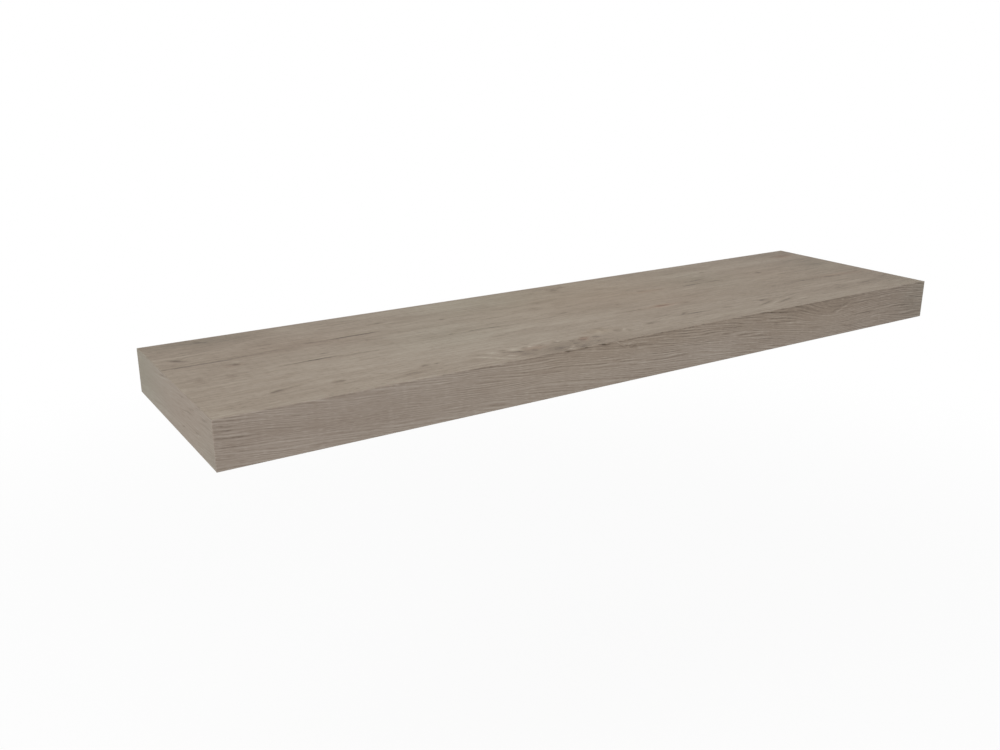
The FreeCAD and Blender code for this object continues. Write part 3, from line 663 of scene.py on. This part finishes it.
particleFinish = {
    "seed": 8.3,
    "tones": [(0.0, (134, 104, 74)), (0.35, (176, 145, 109)), (0.7, (199, 170, 133)), (1.0, (218, 194, 160))],
    "chip": (4.6 * mm, 3.0 * mm, 1.3 * mm),
    "crumb": (1.5 * mm, 1.1 * mm, 0.7 * mm),
    "cloud": (26 * mm, 20 * mm, 7 * mm),
    "wideLimits": (0.5, 0.6),
    "gapLimits": (0.45, 0.9),
    "darkest": 0.3,
    "chipWeight": 0.5,
    "cloudWeight": 0.5,
    "gapWeight": -0.2,
    "roughness": 0.8,
    "specular": 0.25,
    "bump": (0.4, 0.1 * mm),
}

# How cell outlines are bent: by lumps of this share of a cell, and how many cells far.
raggedness = {"lumpShare": 0.6, "reach": 1.6}


# Pressed or felted fibres: fine noise over soft clouds.
def fibreBoard(name, finish):
    material, tree, shader = startMaterial(name)
    fibre = solidNoise(tree, finish["fibre"], finish["seed"], feltedLook["detail"], feltedLook["distortion"])
    cloud = solidNoise(tree, finish["cloud"], finish["seed"] + 1, detail=2)
    value = timesPlus(tree, fibre, feltedLook["fibreWeight"], 0.5)
    value = timesPlus(tree, cloud, feltedLook["cloudWeight"], value)
    paint(tree, shader, ramp(tree, value, finish["tones"]), finish["roughness"], feltedLook["specular"])
    addBump(tree, shader, fibre, *feltedLook["bump"])
    return material


# Cells of the given size with ragged outlines: their random tones and the distance from each cell's middle.
def raggedCells(tree, size, seed):
    lumps = inLumps(tree, size, seed)
    bend = solidNoise(tree, tuple(raggedness["lumpShare"] * side for side in size), seed + 2)
    bent = vectorCalc(tree, "ADD", lumps, calc(tree, "MULTIPLY", bend, raggedness["reach"]))[0]
    cells = put(tree, "ShaderNodeTexVoronoi", {}, {"Vector": bent, "Scale": 1})
    tones = put(tree, "ShaderNodeSeparateColor", {}, {"Color": cells.outputs["Color"]}).outputs
    return tones, cells.outputs["Distance"]


# Sawn chips, a few wide ones among many small ones, with darker gaps.
def chipBoard(name, finish):
    material, tree, shader = startMaterial(name)
    seed = finish["seed"]
    wide, wideEdge = raggedCells(tree, finish["chip"], seed)
    small, smallEdge = raggedCells(tree, finish["crumb"], seed + 4)
    isWide = mapped(tree, wide[1], *finish["wideLimits"])
    tone = put(tree, "ShaderNodeMix", {}, {"Factor": isWide, "A": small[0], "B": wide[0]}).outputs[0]
    edge = put(tree, "ShaderNodeMix", {}, {"Factor": isWide, "A": smallEdge, "B": wideEdge}).outputs[0]
    gap = mapped(tree, edge, *finish["gapLimits"])
    cloud = solidNoise(tree, finish["cloud"], seed + 1, detail=2)
    value = timesPlus(tree, tone, finish["chipWeight"], finish["darkest"])
    value = timesPlus(tree, cloud, finish["cloudWeight"], value)
    value = timesPlus(tree, gap, finish["gapWeight"], value)
    paint(tree, shader, ramp(tree, value, finish["tones"]), finish["roughness"], finish["specular"])
    addBump(tree, shader, calc(tree, "SUBTRACT", tone, gap), *finish["bump"])
    return material


honeycombs = [name for name in cadNodes if name.startswith("honeycomb")]
guideBlocks = [name for name in cadNodes if name.startswith("guide_block")]
frameRails = ["front_rail", "back_rail", "left_end_rail", "right_end_rail"]
dress(fibreBoard("hardboard", hardboardFinish), "top_skin", "bottom_skin")
dress(chipBoard("particleBoard", particleFinish), *frameRails, *guideBlocks)
dress(fibreBoard("kraftPaper", kraftFinish), *honeycombs)
print("boards and paper made")


# Metals of the bracket and the locking screws. Colours are for bare metal, so they tint its reflections.
# Roughness is given as a range, and a bump by its strength and depth.
railFinish = {
    "seed": 3.3,
    "tones": [(0.0, (150, 153, 157)), (0.5, (172, 174, 176)), (1.0, (190, 191, 192))],
    "patch": (60 * mm,) * 3,
    "patchWeight": 0.6,
    "spangle": (6 * mm,) * 3,
    "spangleSeed": 2.3,
    "spangleWeight": 0.3,
    "darkest": 0.35,
    "pits": (0.8 * mm,) * 3,
    "pitsSeed": 6.1,
    "roughness": (0.36, 0.52),
    "bump": (0.2, 0.05 * mm),
}

rodFinish = {
    "seed": 4.4,
    "tones": [(0.2, (164, 166, 170)), (0.5, (181, 182, 184)), (0.8, (195, 195, 194))],
    "patch": (40 * mm, 0.35 * mm, 40 * mm),
    "scratch": (0.7 * mm, 35 * mm, 0.7 * mm),
    "scratchSeed": 9.9,
    "scratchRelief": 0.6,
    "roughness": (0.2, 0.38),
    "bump": (0.25, 0.04 * mm),
}

# Heat colours by distance from the weld: grey scale, blue, purple, straw and bare.
heatTint = {
    "stops": [
        (0.0, (118, 116, 116)), (0.22, (126, 132, 150)), (0.4, (150, 134, 148)), (0.62, (206, 184, 140)),
        (1.0, (255, 255, 255)),
    ],
    "rail": (8.5 * mm, 17 * mm),
    "rod": (7.5 * mm, 21 * mm),
    "wander": (5 * mm,) * 3,
    "wanderSeed": 2.9,
    "wanderReach": 4 * mm,
}

weldFinish = {
    "seed": 1.3,
    "tones": [
        (0.15, (104, 102, 104)), (0.45, (146, 143, 141)), (0.7, (172, 164, 154)), (0.9, (188, 180, 170)),
    ],
    "patch": (2.4 * mm,) * 3,
    "roughness": (0.34, 0.58),
    "bump": (0.3, 0.1 * mm),
}

wireFinish = {
    "seed": 6.6,
    "tones": [(0.3, (172, 174, 176)), (0.7, (200, 201, 202))],
    "patch": (1.2 * mm, 1.2 * mm, 6 * mm),
    "roughness": (0.34, 0.5),
    "bump": (0.3, 0.02 * mm),
}

brassFinish = {
    "seed": 2.2,
    "tones": [(0.2, (196, 164, 98)), (0.5, (217, 190, 129)), (0.8, (230, 206, 150))],
    "patch": (8 * mm, 8 * mm, 0.25 * mm),
    "roughness": (0.24, 0.4),
    "bump": (0.3, 0.03 * mm),
}

blackFinish = {
    "seed": 3.1,
    "tones": [(0.2, (44, 43, 43)), (0.5, (58, 57, 57)), (0.85, (76, 74, 72))],
    "patch": (1.6 * mm,) * 3,
    "roughness": (0.3, 0.46),
    "bump": (0.3, 0.03 * mm),
}

nylonFinish = {
    "seed": 7.7,
    "tones": [(0.3, (222, 220, 211)), (0.7, (233, 232, 226))],
    "cloud": (1.5 * mm,) * 3,
    "roughness": 0.42,
    "glow": 0.15,
    "glowReach": (1 * mm, 1 * mm, 0.8 * mm),
    "bump": (0.1, 0.02 * mm),
}


def metalLook(tree, shader, finish, tone, sheen, sheenLow, sheenHigh):
    color = ramp(tree, tone, finish["tones"])
    roughness = mapped(tree, sheen, sheenLow, sheenHigh, *finish["roughness"])
    plugAll(tree, shader, {"Base Color": color, "Roughness": roughness, "Metallic": 1})


# Metal with one mottle for its tones, its sheen and what is to be its relief.
def mottledMetal(name, finish, detail=3):
    material, tree, shader = startMaterial(name)
    mottle = solidNoise(tree, finish["patch"], finish["seed"], detail)
    tone = calc(tree, "ADD", mottle, 0.5)
    metalLook(tree, shader, finish, tone, tone, sheenLow=0.25, sheenHigh=0.75)
    return material, tree, shader, mottle


def plainMetal(name, finish):
    material, tree, shader, mottle = mottledMetal(name, finish)
    addBump(tree, shader, mottle, *finish["bump"])
    return material


# Multiplies a material's colour by the heat colours over a distance from a weld.
def addHeat(tree, shader, distance, reach):
    plain = shader.inputs["Base Color"].links[0].from_socket
    wander = solidNoise(tree, heatTint["wander"], heatTint["wanderSeed"])
    distance = timesPlus(tree, wander, heatTint["wanderReach"], distance)
    tint = ramp(tree, mapped(tree, distance, *reach), heatTint["stops"])
    tree.links.new(tinted(tree, 1, plain, tint), shader.inputs["Base Color"])


# The four rods stand evenly spaced, so folding x twice gives the distance from the nearest one.
def fromNearestRod(tree):
    outer = abs(middleOf("support_rod_4").x)
    inner = abs(middleOf("support_rod_3").x)
    place = objectPlace(tree)
    fromPair = calc(tree, "SUBTRACT", calc(tree, "ABSOLUTE", place[0]), (outer + inner) / 2)
    beside = calc(tree, "SUBTRACT", calc(tree, "ABSOLUTE", fromPair), (outer - inner) / 2)
    return diagonal(tree, beside, place[2])


def galvanisedRail():
    material, tree, shader = startMaterial("galvanisedRail")
    mottle = solidNoise(tree, railFinish["patch"], railFinish["seed"])
    crystal = raggedCells(tree, railFinish["spangle"], railFinish["spangleSeed"])[0]
    tone = timesPlus(tree, crystal[0], railFinish["spangleWeight"], railFinish["darkest"])
    tone = timesPlus(tree, mottle, railFinish["patchWeight"], tone)
    metalLook(tree, shader, railFinish, tone, crystal[1], sheenLow=0, sheenHigh=1)
    pits = solidNoise(tree, railFinish["pits"], railFinish["pitsSeed"])
    addBump(tree, shader, pits, *railFinish["bump"])
    addHeat(tree, shader, fromNearestRod(tree), heatTint["rail"])
    return material


# The rods' mottle is their fine turning marks.
def zincRod():
    material, tree, shader, turning = mottledMetal("zincRod", rodFinish, detail=2)
    scratch = solidNoise(tree, rodFinish["scratch"], rodFinish["scratchSeed"])
    relief = timesPlus(tree, scratch, rodFinish["scratchRelief"], turning)
    addBump(tree, shader, relief, *rodFinish["bump"])
    addHeat(tree, shader, calc(tree, "MULTIPLY", objectPlace(tree)[1], -1), heatTint["rod"])
    return material


def nylon():
    material, tree, shader = startMaterial("whiteNylon")
    cloud = solidNoise(tree, nylonFinish["cloud"], nylonFinish["seed"])
    look = {
        "Base Color": ramp(tree, calc(tree, "ADD", cloud, 0.5), nylonFinish["tones"]),
        "Roughness": nylonFinish["roughness"],
        "Subsurface Weight": nylonFinish["glow"],
        "Subsurface Radius": nylonFinish["glowReach"],
    }
    plugAll(tree, shader, look)
    addBump(tree, shader, cloud, *nylonFinish["bump"])
    return material


supportRods = [name for name in cadNodes if name.startswith("support_rod")]
rodWelds = [name for name in cadNodes if name.startswith("rod_weld")]
weldMetal = plainMetal("weldMetal", weldFinish)
brass = plainMetal("turnedBrass", brassFinish)
blackOxide = plainMetal("blackOxide", blackFinish)
dress(galvanisedRail(), "wall_rail")
dress(zincRod(), *supportRods)
dress(weldMetal, *rodWelds)
dress(plainMetal("stapleWire", wireFinish), "frame_staples")
dress(brass, "left_threaded_insert", "right_threaded_insert")
dress(blackOxide, "left_locking_screw", "right_locking_screw")
dress(nylon(), "left_screw_tip", "right_screw_tip")
print("metals and nylon made")


# Small tools for modelling.
def deselectAll():
    bpy.ops.object.select_all(action="DESELECT")


def pickAlone(piece):
    deselectAll()
    piece.select_set(True)
    bpy.context.view_layer.objects.active = piece


def setMode(mode):
    bpy.ops.object.mode_set(mode=mode)


def selectMesh(action):
    bpy.ops.mesh.select_all(action=action)


def applyPlace(piece):
    pickAlone(piece)
    bpy.ops.object.transform_apply(location=True, rotation=True, scale=True)


def applyModifier(piece, kind, **settings):
    pickAlone(piece)
    bpy.ops.object.modifier_add(type=kind)
    modifier = piece.modifiers[-1]
    for name, value in settings.items():
        setattr(modifier, name, value)
    bpy.ops.object.modifier_apply(modifier=modifier.name)


# Cuts a piece by a second one or trims it to that, which uses the second one up.
def combine(piece, tool, operation):
    applyModifier(piece, "BOOLEAN", operation=operation, solver="MANIFOLD", object=tool)
    pickAlone(tool)
    bpy.ops.object.delete()


def smoothed(piece, angle):
    pickAlone(piece)
    bpy.ops.object.shade_smooth_by_angle(angle=math.radians(angle))


def finishPiece(piece, name, material, body, node):
    piece.name = name
    piece.data.name = name
    piece.data.materials.clear()
    piece.data.materials.append(material)
    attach(piece, body)
    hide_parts(node)


def copyMoved(piece, offset):
    pickAlone(piece)
    bpy.ops.object.duplicate(linked=False)
    copy = bpy.context.object
    bpy.ops.transform.translate(value=offset)
    applyPlace(copy)
    return copy


# Weld beads: flattened balls laid round the rod like a welder's dimes, then melted together.
weldBead = {
    "dimes": 26,
    "dimeRadius": 2.2 * mm,
    "dimeThickness": 0.8,
    "dimeSegments": 20,
    "dimeRings": 12,
    "lean": 24,
    "inset": 0.3 * mm,
    "grain": 0.25 * mm,
    "melting": 0.5,
    "meltingRounds": 2,
    "turnBetweenRods": 37,
}


def makeWelds():
    rodLow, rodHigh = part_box("support_rod_1")
    rodRadius = (rodHigh.z - rodLow.z) / 2
    foot = middleOf("support_rod_1")
    foot.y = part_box("wall_rail")[0].y
    inset = weldBead["inset"]
    deselectAll()
    bpy.ops.mesh.primitive_uv_sphere_add(
        segments=weldBead["dimeSegments"],
        ring_count=weldBead["dimeRings"],
        radius=weldBead["dimeRadius"],
        location=foot + Vector((0, -inset, rodRadius + inset)),
        rotation=(0, 0, math.radians(weldBead["lean"])),
        scale=(weldBead["dimeThickness"], 1, 1),
    )
    first = bpy.context.object
    applyPlace(first)
    count = weldBead["dimes"]
    setMode("EDIT")
    selectMesh("SELECT")
    bpy.ops.mesh.spin(
        steps=count - 1, dupli=True, angle=math.tau * (count - 1) / count, center=foot, axis=(0, 1, 0)
    )
    setMode("OBJECT")
    applyModifier(first, "REMESH", mode="VOXEL", voxel_size=weldBead["grain"], use_smooth_shade=True)
    applyModifier(first, "SMOOTH", factor=weldBead["melting"], iterations=weldBead["meltingRounds"])
    beads = [first]
    for number in range(2, len(supportRods) + 1):
        offset = middleOf(f"support_rod_{number}") - middleOf("support_rod_1")
        bead = copyMoved(first, offset)
        pickAlone(bead)
        turn = math.radians(weldBead["turnBetweenRods"] * number)
        bpy.ops.transform.rotate(value=turn, orient_axis="Y", center_override=foot + offset)
        applyPlace(bead)
        beads.append(bead)
    for number, bead in enumerate(beads, 1):
        name = f"rippled_weld_{number}"
        finishPiece(bead, name, weldMetal, "wall_bracket", f"rod_weld_{number}")


makeWelds()
print("welds made")


# Locking screws: M6 set screws with a hexagon socket below and a seat for the nylon tip above.
lockingScrew = {
    "pitch": 1 * mm,
    "threadDepth": 0.55 * mm,
    "crestBelowBox": 0.05 * mm,
    "crestFlat": 0.07 * mm,
    "turnsBelow": 2.37,
    "turnsAbove": 2,
    "stepsPerTurn": 36,
    "mergeWithin": 0.002 * mm,
    "sides": 72,
    "chamfer": 0.6 * mm,
    "socketAcross": 3 * mm,
    "socketDepth": 4 * mm,
    "seatRadius": 1.15 * mm,
    "seatClearance": 0.05 * mm,
    "seatSides": 48,
    "smoothBelow": 35,
    "overrun": 1 * mm,
}

# Threaded inserts: knurled brass, grooved for the glue, with a thread that the screw fits.
threadedInsert = {
    "ridges": 40,
    "ridgeDepth": 0.25 * mm,
    "sides": 96,
    "chamfer": 0.4 * mm,
    "grooves": 3,
    "grooveRadius": 0.5 * mm,
    "grooveSides": 12,
    "threadClearance": 0.13 * mm,
    "tapBelow": 3 * mm,
    "mouthRadius": 3.7 * mm,
    "mouthDepth": 1.3 * mm,
    "mouthSides": 72,
    "mouthOverlap": 0.01 * mm,
    "smoothBelow": 30,
}


# A closed bar with the locking screw's right-hand thread all along it. The helix keeps its place whatever the
# crest is.
def threadedBar(axis, low, high, crest):
    pitch = lockingScrew["pitch"]
    steps = lockingScrew["stepsPerTurn"]
    root = crest - lockingScrew["threadDepth"]
    start = low - lockingScrew["turnsBelow"] * pitch
    turns = math.ceil((high - start) / pitch) + lockingScrew["turnsAbove"]
    deselectAll()
    bpy.ops.mesh.primitive_plane_add(
        size=pitch, location=(axis.x, axis.y, start), rotation=(math.radians(90), 0, 0)
    )
    bar = bpy.context.object
    bpy.ops.object.transform_apply(location=False, rotation=True, scale=True)
    setMode("EDIT")
    selectMesh("DESELECT")
    setMode("OBJECT")
    for vertex in bar.data.vertices:
        vertex.select = vertex.co.x < 0
    setMode("EDIT")
    bpy.ops.mesh.delete(type="VERT")
    selectMesh("SELECT")
    bpy.ops.transform.translate(value=(root - pitch / 2, 0, 0))
    bpy.ops.mesh.subdivide(number_cuts=1)
    selectMesh("DESELECT")
    setMode("OBJECT")
    for vertex in bar.data.vertices:
        vertex.select = abs(vertex.co.z) < pitch / 4
    setMode("EDIT")
    bpy.ops.transform.translate(value=(crest - root, 0, 0))
    bpy.ops.mesh.bevel(offset=lockingScrew["crestFlat"], segments=1, affect="VERTICES")
    setMode("OBJECT")
    applyModifier(
        bar, "SCREW", angle=math.tau, screw_offset=pitch, iterations=turns, steps=steps, render_steps=steps
    )
    applyPlace(bar)
    setMode("EDIT")
    selectMesh("SELECT")
    bpy.ops.mesh.remove_doubles(threshold=lockingScrew["mergeWithin"])
    bpy.ops.mesh.bisect(plane_co=(0, 0, high), plane_no=(0, 0, 1), clear_outer=True)
    selectMesh("SELECT")
    bpy.ops.mesh.bisect(plane_co=(0, 0, low), plane_no=(0, 0, 1), clear_inner=True)
    selectMesh("SELECT")
    bpy.ops.mesh.fill_holes(sides=0)
    selectMesh("SELECT")
    bpy.ops.mesh.normals_make_consistent(inside=False)
    setMode("OBJECT")
    return bar


# A round or six-sided bar from low to high, with its rims chamfered where they turn by more than 60 degrees.
def plainBar(axis, low, high, radius, sides, chamfer=0):
    deselectAll()
    bpy.ops.mesh.primitive_cylinder_add(
        vertices=sides, radius=radius, depth=high - low, location=(axis.x, axis.y, (low + high) / 2)
    )
    bar = bpy.context.object
    applyPlace(bar)
    if chamfer:
        applyModifier(bar, "BEVEL", width=chamfer, limit_method="ANGLE", angle_limit=math.radians(60))
    return bar


def makeScrew(side):
    low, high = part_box(f"{side}_locking_screw")
    axis = (low + high) / 2
    radius = (high.x - low.x) / 2
    over = lockingScrew["overrun"]
    screw = threadedBar(axis, low.z - over, high.z + over, radius - lockingScrew["crestBelowBox"])
    blank = plainBar(axis, low.z, high.z, radius, lockingScrew["sides"], lockingScrew["chamfer"])
    combine(screw, blank, "INTERSECT")
    hexagonCorner = lockingScrew["socketAcross"] / 2 / math.cos(math.radians(30))
    socket = plainBar(axis, low.z - over, low.z + lockingScrew["socketDepth"], hexagonCorner, 6)
    combine(screw, socket, "DIFFERENCE")
    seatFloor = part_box(f"{side}_screw_tip")[0].z - lockingScrew["seatClearance"]
    seat = plainBar(axis, seatFloor, high.z + over, lockingScrew["seatRadius"], lockingScrew["seatSides"])
    combine(screw, seat, "DIFFERENCE")
    smoothed(screw, lockingScrew["smoothBelow"])
    return screw


def makeInsert(side):
    low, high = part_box(f"{side}_threaded_insert")
    axis = (low + high) / 2
    radius = (high.x - low.x) / 2
    ridges = threadedInsert["ridges"]
    insert = plainBar(axis, low.z, high.z, radius, 2 * ridges)
    for vertex in insert.data.vertices:
        turn = math.atan2(vertex.co.y - axis.y, vertex.co.x - axis.x)
        vertex.select = round(turn / math.tau * 2 * ridges) % 2 == 1
    for edge in insert.data.edges:
        edge.select = all(insert.data.vertices[number].select for number in edge.vertices)
    for face in insert.data.polygons:
        face.select = False
    setMode("EDIT")
    shrink = 1 - threadedInsert["ridgeDepth"] / radius
    bpy.ops.transform.resize(value=(shrink, shrink, 1), center_override=axis)
    setMode("OBJECT")
    blank = plainBar(axis, low.z, high.z, radius, threadedInsert["sides"], threadedInsert["chamfer"])
    combine(insert, blank, "INTERSECT")
    for groove in range(threadedInsert["grooves"]):
        height = low.z + (groove + 1) / (threadedInsert["grooves"] + 1) * (high.z - low.z)
        deselectAll()
        bpy.ops.mesh.primitive_torus_add(
            location=(axis.x, axis.y, height),
            major_radius=radius,
            minor_radius=threadedInsert["grooveRadius"],
            major_segments=threadedInsert["sides"],
            minor_segments=threadedInsert["grooveSides"],
        )
        ring = bpy.context.object
        applyPlace(ring)
        combine(insert, ring, "DIFFERENCE")
    screwLow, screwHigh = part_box(f"{side}_locking_screw")
    crest = (screwHigh.x - screwLow.x) / 2 - lockingScrew["crestBelowBox"] + threadedInsert["threadClearance"]
    tapLow = screwLow.z - threadedInsert["tapBelow"]
    tap = threadedBar(axis, tapLow, screwHigh.z + lockingScrew["overrun"], crest)
    combine(insert, tap, "DIFFERENCE")
    mouthDepth = threadedInsert["mouthDepth"]
    deselectAll()
    bpy.ops.mesh.primitive_cone_add(
        vertices=threadedInsert["mouthSides"],
        radius1=threadedInsert["mouthRadius"],
        radius2=threadedInsert["mouthRadius"] - mouthDepth,
        depth=mouthDepth,
        location=(axis.x, axis.y, low.z + mouthDepth / 2 - threadedInsert["mouthOverlap"]),
    )
    mouth = bpy.context.object
    applyPlace(mouth)
    combine(insert, mouth, "DIFFERENCE")
    smoothed(insert, threadedInsert["smoothBelow"])
    return insert


def makeLocks():
    screw = makeScrew("left")
    insert = makeInsert("left")
    across = middleOf("right_locking_screw") - middleOf("left_locking_screw")
    screws = {"left": screw, "right": copyMoved(screw, across)}
    inserts = {"left": insert, "right": copyMoved(insert, across)}
    for side, screw in screws.items():
        name = f"{side}_set_screw"
        body = f"lock_screw_{side}"
        finishPiece(screw, name, blackOxide, body, f"{side}_locking_screw")
    for side, insert in inserts.items():
        name = f"{side}_knurled_insert"
        finishPiece(insert, name, brass, "shelf_board", f"{side}_threaded_insert")


makeLocks()
print("locking screws and inserts made")


# Studio: a pale floor well below the shelf, a soft white world and two soft lamps.
studio = {
    "floorBelow": 0.75,
    "floorSize": 50,
    "floorTone": 0.8,
    "shadowNear": 0.9,
    "shadowGone": 2.4,
    "shadowShare": 0.16,
    "worldLevel": 0.62,
    "lamps": [
        {"name": "keyLamp", "place": (-0.72, -1.55, 1.62), "size": 3, "power": 33},
        {"name": "sideLamp", "place": (-2.54, 0.13, 0.61), "size": 2.4, "power": 15.3},
    ],
}


# 1 for what the camera sees directly, in a reflection or through glass, and 0 for light.
def seenRay(tree):
    path = tree.nodes.new("ShaderNodeLightPath").outputs
    seen = calc(tree, "MAXIMUM", path["Is Camera Ray"], path["Is Glossy Ray"])
    return calc(tree, "MAXIMUM", seen, path["Is Transmission Ray"])


def makeWorld():
    world = bpy.data.worlds.new("studioWorld")
    world.use_nodes = True
    bpy.context.scene.world = world
    tree = world.node_tree
    level = studio["worldLevel"]
    strength = timesPlus(tree, seenRay(tree), 1 - level, level)
    plugAll(tree, tree.nodes["Background"], {"Color": (1, 1, 1, 1), "Strength": strength})


# The floor looks white from above with a faint shadow, and can be looked through from below.
def makeFloor():
    bpy.ops.mesh.primitive_plane_add(size=studio["floorSize"], location=(0, 0, -studio["floorBelow"]))
    floor = bpy.context.object
    floor.name = "floor"
    material, tree, shader = startMaterial("floorPaint")
    tree.nodes.remove(shader)
    seen = seenRay(tree)
    tone = timesPlus(tree, seen, 1 - studio["floorTone"], studio["floorTone"])
    painted = put(tree, "ShaderNodeBsdfDiffuse", {}, {"Color": tone}).outputs[0]
    white = put(tree, "ShaderNodeEmission", {}, {"Color": (1, 1, 1, 1), "Strength": 1}).outputs[0]
    place = objectPlace(tree)
    distance = diagonal(tree, place[0], place[1])
    limits = (studio["shadowNear"], studio["shadowGone"], 1 - studio["shadowShare"], 1)
    whiteness = calc(tree, "MULTIPLY", mapped(tree, distance, *limits, "SMOOTHSTEP"), seen)
    above = put(tree, "ShaderNodeMixShader", {}, {0: whiteness, 1: painted, 2: white}).outputs[0]
    clear = tree.nodes.new("ShaderNodeBsdfTransparent").outputs[0]
    below = tree.nodes.new("ShaderNodeNewGeometry").outputs["Backfacing"]
    both = put(tree, "ShaderNodeMixShader", {}, {0: below, 1: above, 2: clear}).outputs[0]
    tree.links.new(both, tree.nodes["Material Output"].inputs["Surface"])
    floor.data.materials.append(material)


def makeLamps():
    middle = (cadLow + cadHigh) / 2
    for lamp in studio["lamps"]:
        bpy.ops.object.light_add(type="AREA", location=lamp["place"])
        light = bpy.context.object
        light.name = lamp["name"]
        light.data.size = lamp["size"]
        light.data.energy = lamp["power"]
        light.rotation_mode = "QUATERNION"
        light.rotation_quaternion = (middle - light.location).to_track_quat("-Z", "Y")


makeWorld()
makeFloor()
makeLamps()
bpy.context.scene.view_settings.view_transform = "Standard"
print("studio made")
